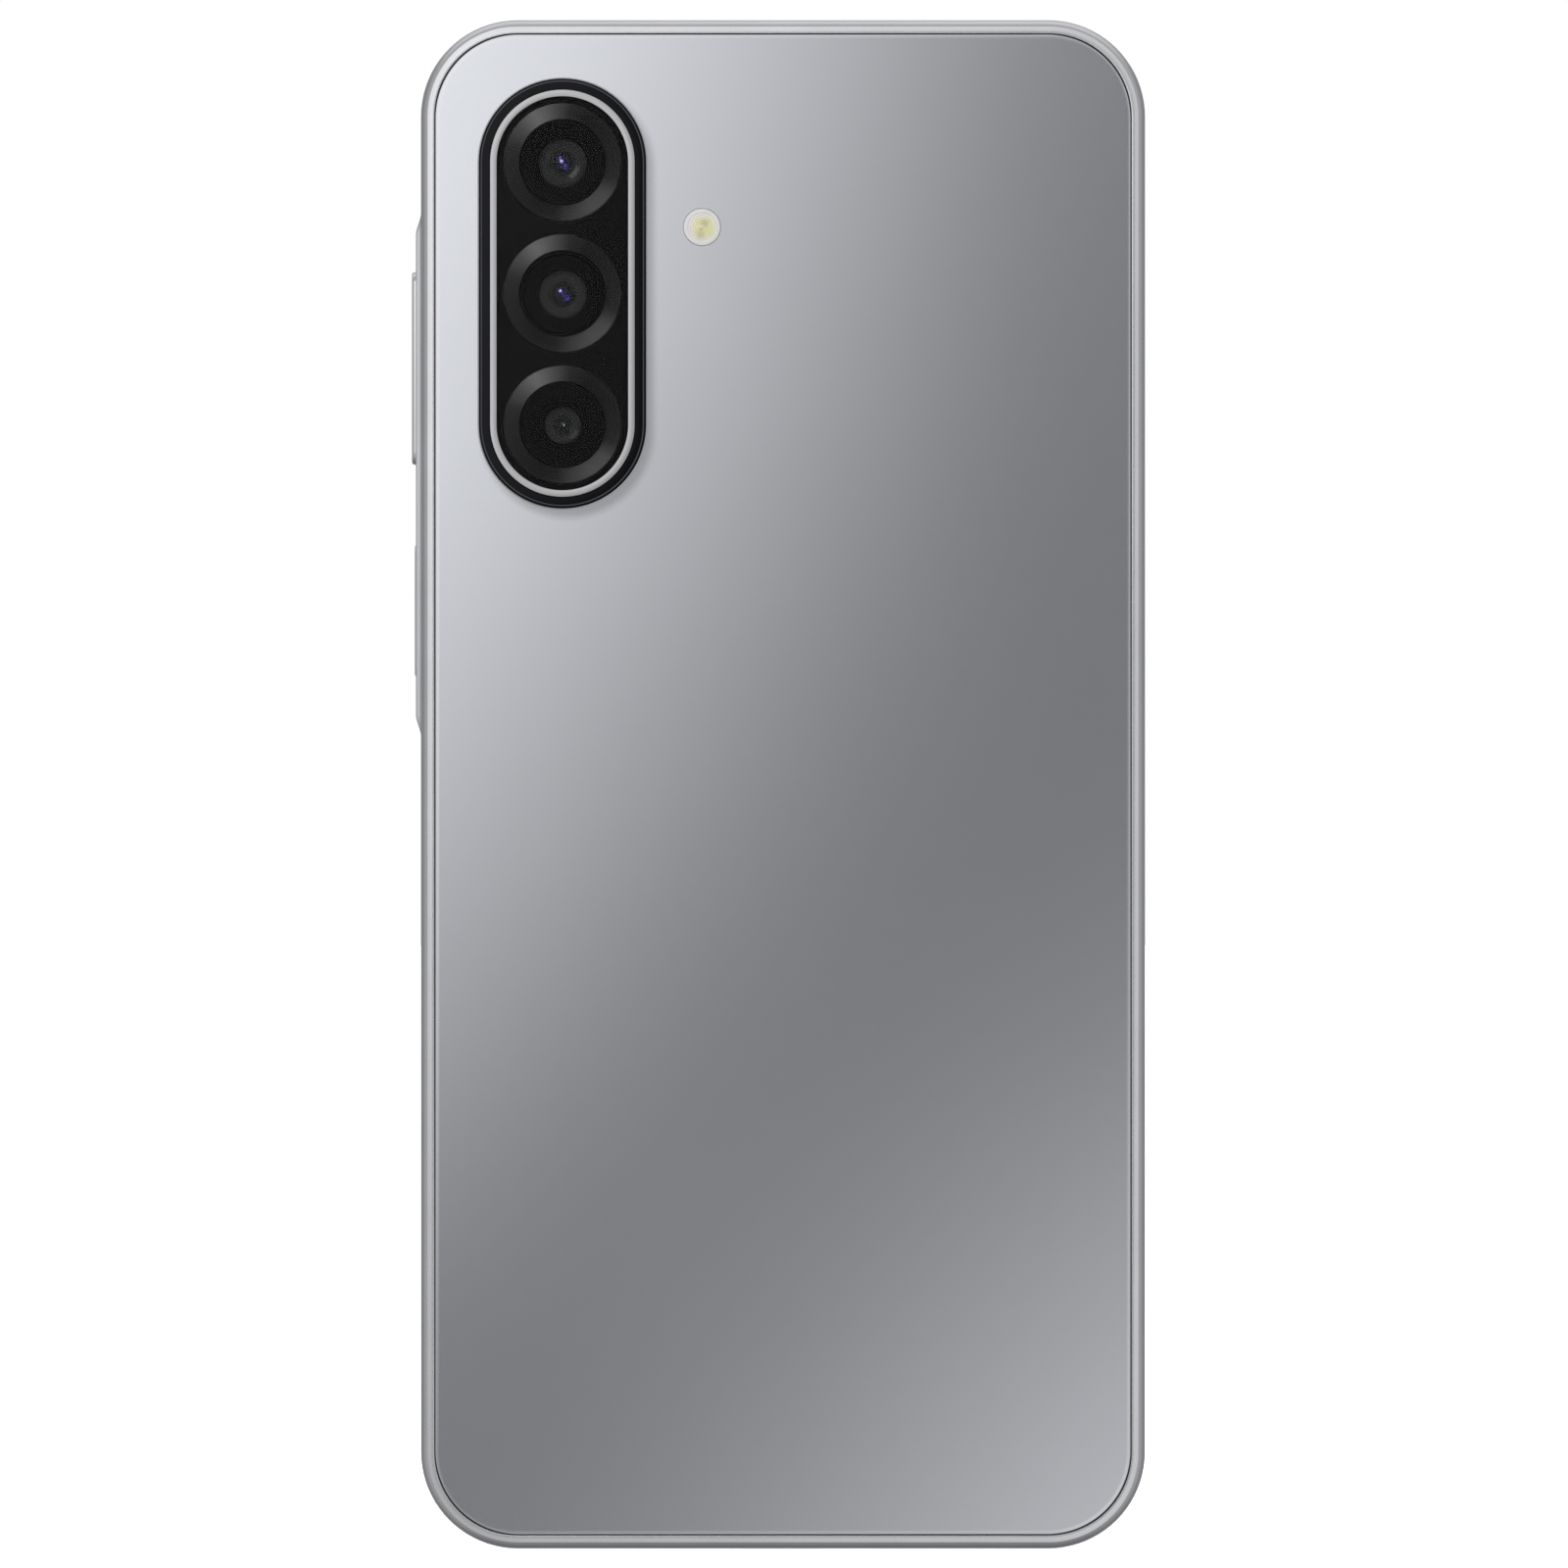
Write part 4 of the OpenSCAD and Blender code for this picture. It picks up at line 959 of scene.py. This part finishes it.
# ---------- keys, tray and port ----------
def key_face(name, y, run, x_out, x_in, fillet, drop):
    """Key from its inner end to its face, whose edge falls away over an ellipse."""
    radius = KEY_W / 2
    return slot_loft(name, y, 0, run, [
        (x_in, radius - 0.1), (x_in - 0.1, radius),
        *arc((x_out + fillet, radius - drop), (fillet, drop), 90, 180, 10), (x_out, radius - drop - 0.03),
    ])


def nub(x_in, y):
    """Round push pin behind a key."""
    return round_x("nub", y, 0, [(x_in - 0.05, 0.6), (x_in + 0.07, 0.6), (x_in + 0.1, 0.55)], 24)


def keys():
    x_in = volume_lo.x + KEY_DEPTH
    volume = join("volume_rocker", [
        key_face("volume_face", VOLUME_Y, VOLUME_RUN, volume_lo.x, x_in, 0.5, 0.2),
        block("hook", (x_in - 0.4, VOLUME_Y - 3, -KEY_W / 2), (x_in - 0.02, VOLUME_Y + 3, 1.85), 0.06),
        block("rib", (x_in - 0.05, VOLUME_Y - 0.19, -1), (x_in + 0.35, VOLUME_Y + 0.19, 1), 0.12),
        nub(x_in, VOLUME_Y - 6.5),
        nub(x_in, VOLUME_Y + 6.5),
    ])
    dress(volume, "key_metal", "volume_key", 24, "volume_key")

    x_out, recess_r, hook = power_lo.x, KEY_W / 2 - 0.4, POWER_LEN / 2 + 0.8
    shell = key_face("power_face", POWER_Y, POWER_RUN, x_out, x_in, 0.34, 0.16)
    cut(shell, [slot_loft("pocket_tool", POWER_Y, 0, POWER_RUN, [
        (x_out - 1, recess_r + 0.04), (x_out - 0.01, recess_r + 0.03),
        (x_out + 0.04, recess_r), (x_out + 0.35, recess_r),
    ])])
    power = join("power_button", [
        shell,
        nub(x_in, POWER_Y),
        block("hook", (x_in - 0.4, POWER_Y - hook, -1.2), (x_in - 0.02, POWER_Y + hook, 1.2), 0.06),
    ])
    dress(power, "key_metal", "power_key", 24, "power_key")
    face, cap_r = sensor_lo.x, 0.93
    sensor = slot_loft("touch_sensor", POWER_Y, 0, POWER_RUN, [
        (sensor_hi.x, cap_r), (face + 0.06, cap_r), (face + 0.015, cap_r - 0.015), (face, cap_r - 0.06),
        (face, 0.6),
    ])
    dress(sensor, "sensor_cap", "fingerprint_sensor", 24, "power_key")


def card_tray():
    lip, neck_r = 0.12, HEAD_R - 0.4
    head = slot_loft("tray_head", TRAY_Y, TRAY_Z, HEAD_RUN, [
        (NECK_X, neck_r), (HEAD_X, neck_r), (HEAD_X, HEAD_R - 0.05), (HEAD_X + 0.05, HEAD_R),
        (HALF_W - lip, HEAD_R),
        *arc((HALF_W - lip, HEAD_R - lip), (lip, lip), 90, 0, 6)[1:],
        (HALF_W, HEAD_R - lip - 0.2),
    ], 18)
    low, high, base = TRAY_Y - 6.8, TRAY_Y + 6.0, TRAY_Y - 0.2
    plate = block("carrier", (tray_lo.x, low, -1.05), (NECK_X + 0.05, high, -0.3), 0.08)
    small = card_pocket(12.2, 21, base - 6.35, base + 5.95)
    large = card_pocket(21.5, 36.5, base - 5.7, base + 5.3)
    cut(plate, small + large)
    # eject hole, with a small countersink
    cut(head, [round_x("pin_tool", PIN_Y, TRAY_Z, [
        (NECK_X - 1, PIN_R), (HALF_W - 0.12, PIN_R), (HALF_W - 0.03, PIN_R + 0.04),
        (HALF_W + 0.01, PIN_R + 0.12), (HALF_W + 1, PIN_R + 0.2),
    ], 32)])
    dress(join("card_tray", [head, plate]), "tray_metal", "sim_tray", 24, "sim_tray")
    outer = HEAD_R + 0.06
    seal = slot_loft("tray_gasket", TRAY_Y, TRAY_Z, HEAD_RUN, [
        (NECK_X + 0.02, neck_r), (NECK_X + 0.02, outer - 0.15), (NECK_X + 0.12, outer - 0.03),
        ((NECK_X + HEAD_X) / 2, outer),
        (HEAD_X - 0.12, outer - 0.03), (HEAD_X - 0.02, outer - 0.15), (HEAD_X - 0.02, neck_r),
    ], 18, True)
    dress(seal, "silicone", "sim_tray_seal", body="sim_tray")


def card_pocket(x0, x1, y0, y1):
    """Cutters for one card: a pocket with a cut corner, and the window under it."""
    corner, rim, floor_z = 1.6, 1.0, -0.9
    outline = [(x0, y0), (x1, y0), (x1, y1 - corner), (x1 - corner, y1), (x0, y1)]
    pocket = build("pocket", [[(x, y, z) for x, y in outline] for z in (floor_z, 1)])
    window = block("window", (x0 + rim, y0 + rim, -2), (x1 - rim, y1 - rim - corner / 2, 0), 0.4)
    return [pocket, window]


def port():
    outer, bore = PORT_R + 0.3, PORT_R
    front, back, bore_back = shell_lo.y, shell_hi.y, 6.55
    shell = slot_loft("port_shell", 0, 0, PORT_RUN, [
        (back, outer), (front + 0.08, outer), (front + 0.02, outer - 0.06), (front, outer - 0.13),
        (front, bore + 0.12), (front + 0.05, bore + 0.04), (front + 0.16, bore), (bore_back, bore),
    ], 18, up=True)
    dress(shell, "port_steel", "usb_shell")
    tongue = join("port_tongue", [
        block("tongue", (-3.34, 2.1, -0.35), (3.34, bore_back, 0.35), 0.12),
        block("root", (-3.8, 5.9, -0.9), (3.8, bore_back, 0.9), 0.15),
    ])
    dress(tongue, "connector_black", "usb_tongue")
    pads = []
    for i in range(12):
        x = (i - 5.5) * 0.5
        for z in (-0.35, 0.35):
            pads.append(block("pad", (x - 0.13, 2.45, z - 0.02), (x + 0.13, 5.7, z + 0.02), 0.008))
    dress(join("port_contacts", pads), "port_steel", "usb_tongue", material=contact_gold)


def ear_mesh():
    """Woven mesh in the slit over the glass: crossing wires on a dark strip."""
    low, high, front = mesh_lo, mesh_hi, mesh_lo.z
    parts = [block("strip", (low.x, low.y, front + 0.12), (high.x, high.y, high.z))]
    count = 34
    for i in range(count):
        x = low.x + 0.15 + (high.x - low.x - 0.3) * i / (count - 1)
        parts.append(block("wire", (x - 0.05, low.y, front), (x + 0.05, high.y, front + 0.14), 0.03))
    for i in range(3):
        y = low.y + 0.08 + (high.y - low.y - 0.16) * i / 2
        start, end = (low.x, y - 0.04, front + 0.03), (high.x, y + 0.04, front + 0.16)
        parts.append(block("wire", start, end, 0.03))
    dress(join("ear_mesh", parts), "mesh_black", "earpiece_mesh")


def front_camera():
    rim_z, dome = -2.75, 0.15
    obj = turned("front_lens", 0, FRONT_CAM_Y, [
        (1.0, -2.2), (1.0, rim_z),
        *[(cos(radians(a)), rim_z - dome * sin(radians(a))) for a in range(10, 90, 10)],
    ], 40)
    dress(obj, "coated_lens", "front_camera_lens")


side_frame()
rear_cover()
cover_glass()
camera_island()
cameras()
flash()
keys()
card_tray()
port()
ear_mesh()
front_camera()


# ---------- parts that keep their CAD shape ----------
for subpart in frame["record"]["subparts"]:
    node = frame["nodes"][subpart["node"]]
    node.data.materials.clear()
    node.data.materials.append(M[subpart["material_slot"]])


# ---------- studio ----------
CAMERA_AWAY = 1.6
CARD_AWAY = 0.45
MID = Vector((0, -REAR_Z * MM, BODY_H / 2 * MM))
# how much larger the card is than the place on the cover where the camera sees it reflected
SEEN = 1 + CARD_AWAY / CAMERA_AWAY


def bowed_front(tree, x, y, tilt, way, bend, middle):
    """Distance along a tilted line, less where it is far to the side: the edge of a wide, round glow."""
    along = calc(tree, "ADD", calc(tree, "MULTIPLY", x, tilt), calc(tree, "MULTIPLY", y, way))
    aside = calc(tree, "ADD", x, calc(tree, "MULTIPLY", y, abs(tilt)))
    aside = calc(tree, "SUBTRACT", aside, middle)
    fall = calc(tree, "MULTIPLY", calc(tree, "MULTIPLY", aside, aside), bend)
    return calc(tree, "SUBTRACT", along, fall)


def mixed(tree, factor, a, b):
    """a where the factor is 0, b where it is 1."""
    return calc(tree, "ADD", a, calc(tree, "MULTIPLY", factor, calc(tree, "SUBTRACT", b, a)))


def end_tree(tree, kind, factor, a, b):
    """Output that shows shader a where the factor is 0 and shader b where it is 1."""
    mix = add(tree, "MixShader", {"Fac": factor, 1: a, 2: b})
    add(tree, kind, {"Surface": mix[0]})


def gradient_card():
    """Card in front of the rear cover: bright at the upper left, dark across, soft at the lower right."""
    wide, tall = 0.8, 0.94
    bm = bmesh.new()
    bmesh.ops.create_grid(bm, x_segments=1, y_segments=1, size=0.5)
    card = mesh_object("gradient_card", bm)
    card.location = MID + Vector((0, -CARD_AWAY, 0))
    card.rotation_euler = (radians(90), 0, 0)
    card.scale = (wide, tall, 1)
    card.visible_camera = False
    card.visible_shadow = False
    mat, tree, _ = new_material("gradient_card")
    tree.nodes.clear()
    card_x, card_y, _ = split(tree, place_on(tree))
    # place on the card, as millimetres on the rear cover where the camera sees it reflected
    x = calc(tree, "MULTIPLY", card_x, wide / MM / SEEN)
    y = calc(tree, "MULTIPLY", card_y, tall / MM / SEEN)
    y = calc(tree, "ADD", y, BODY_H / 2)
    base = 0.168
    bright = ease(tree, bowed_front(tree, x, y, -1.237, 1.0, 0.00155, 46.0), 0.0, 1.264, 50.7, 202.5)
    soft = ease(tree, bowed_front(tree, x, y, 1.072, -1.0, 0.00294, 39.8), 0.0, 1.45, -69.0, 165.8)
    middle = calc(tree, "ADD", calc(tree, "ADD", bright, soft), base)
    # beyond the cover's own reflection the card lights the rim: dimmer low on the left, even on the right
    left, right = remap(tree, y, 0.55, 1.1, 20.0, 150.0), 0.75
    outer = mixed(tree, ease(tree, x, 0.0, 1.0, -60.0, 60.0), left, right)
    away_y = calc(tree, "ABSOLUTE", calc(tree, "SUBTRACT", y, BODY_H / 2))
    inside_x = ease(tree, calc(tree, "ABSOLUTE", x), 1.0, 0.0, 52.0, 95.0)
    inside_y = ease(tree, away_y, 1.0, 0.0, 95.0, 140.0)
    total = mixed(tree, calc(tree, "MULTIPLY", inside_x, inside_y), outer, middle)
    glow = add(tree, "Emission", {"Strength": total})[0]
    clear = add(tree, "BsdfTransparent", {})[0]
    feather_x = ease(tree, calc(tree, "ABSOLUTE", card_x), 1.0, 0.0, 0.28, 0.5)
    feather_y = ease(tree, calc(tree, "ABSOLUTE", card_y), 1.0, 0.0, 0.33, 0.5)
    end_tree(tree, "OutputMaterial", calc(tree, "MULTIPLY", feather_x, feather_y), clear, glow)
    card.data.materials.append(mat)


# grey of the surroundings, from behind the phone (-1) to behind the camera (1)
RING = [
    (-1, 0.32), (-0.6, 0.31), (-0.34, 0.28), (-0.16, 0.31), (0, 0.385), (0.16, 0.445), (0.34, 0.475),
    (0.6, 0.49), (1, 0.5),
]
# and its strength against the height over the phone's middle, from straight down to straight up
SKY = [(-1, 0.59), (-0.93, 0.56), (-0.8, 0.73), (-0.4, 0.9), (0.4, 1.0), (0.9, 0.87), (1, 0.87)]


def grey_ramp(tree, factor, greys):
    """Grey against a factor from -1 to 1."""
    unit = remap(tree, factor, 0.0, 1.0, -1.0, 1.0)
    return ramp(tree, unit, [((at + 1) / 2, (grey, grey, grey)) for at, grey in greys])


def world():
    """White backdrop for the camera; for reflections, soft light round a darker middle."""
    made = bpy.data.worlds.new("studio")
    bpy.context.scene.world = made
    made.use_nodes = True
    tree = made.node_tree
    tree.nodes.clear()
    _, y, z = split(tree, place_on(tree, "Generated"))
    front = calc(tree, "MULTIPLY", y, -1.0)
    around = calc(tree, "MULTIPLY", grey_ramp(tree, front, RING), grey_ramp(tree, z, SKY))
    # a soft light above and a little behind the phone
    above = ease(tree, z, 0.0, 0.56, 0.35, 1.0)
    behind = ease(tree, front, 1.0, 0.0, -0.2, 0.45)
    total = calc(tree, "ADD", around, calc(tree, "MULTIPLY", above, behind))
    light = add(tree, "Background", {"Color": (1.0, 1.0, 1.025, 1), "Strength": total})[0]
    white = add(tree, "Background", {"Color": (1, 1, 1, 1)})[0]
    seen = add(tree, "LightPath", {})["Is Camera Ray"]
    end_tree(tree, "OutputWorld", seen, light, white)


def key_light():
    data = bpy.data.lights.new("key_light", "AREA")
    data.shape = "DISK"
    data.size = 0.35
    data.energy = 7.0
    obj = add_object("key_light", data)
    obj.location = (-0.5, -0.8, 0.75)
    obj.rotation_euler = (MID - obj.location).to_track_quat("-Z", "Y").to_euler()
    obj.visible_camera = False
    obj.visible_glossy = False


def floor():
    bm = bmesh.new()
    bmesh.ops.create_grid(bm, x_segments=1, y_segments=1, size=6)
    obj = mesh_object("floor", bm)
    obj.location = (0, 0, -0.0002)
    mat, _, shader = new_material("floor_white")
    feed(shader, {
        "Base Color": (0.9, 0.9, 0.9, 1), "Roughness": 0.8, "Specular IOR Level": 0.0,
        "Emission Color": (1, 1, 1, 1), "Emission Strength": 0.9,
    })
    obj.data.materials.append(mat)
    obj.visible_glossy = False
    obj.visible_diffuse = False


def camera():
    data = bpy.data.cameras.new("camera")
    obj = add_object("camera", data)
    view_height = 168.55 * MM
    data.sensor_width = 36
    data.lens = data.sensor_width * CAMERA_AWAY / view_height
    data.clip_end = 100
    obj.location = (0.11 * MM, -REAR_Z * MM - CAMERA_AWAY, 82.24 * MM)
    obj.rotation_euler = (radians(90), 0, 0)
    bpy.context.scene.camera = obj


world()
gradient_card()
key_light()
floor()
camera()
bpy.context.scene.view_settings.view_transform = "Standard"
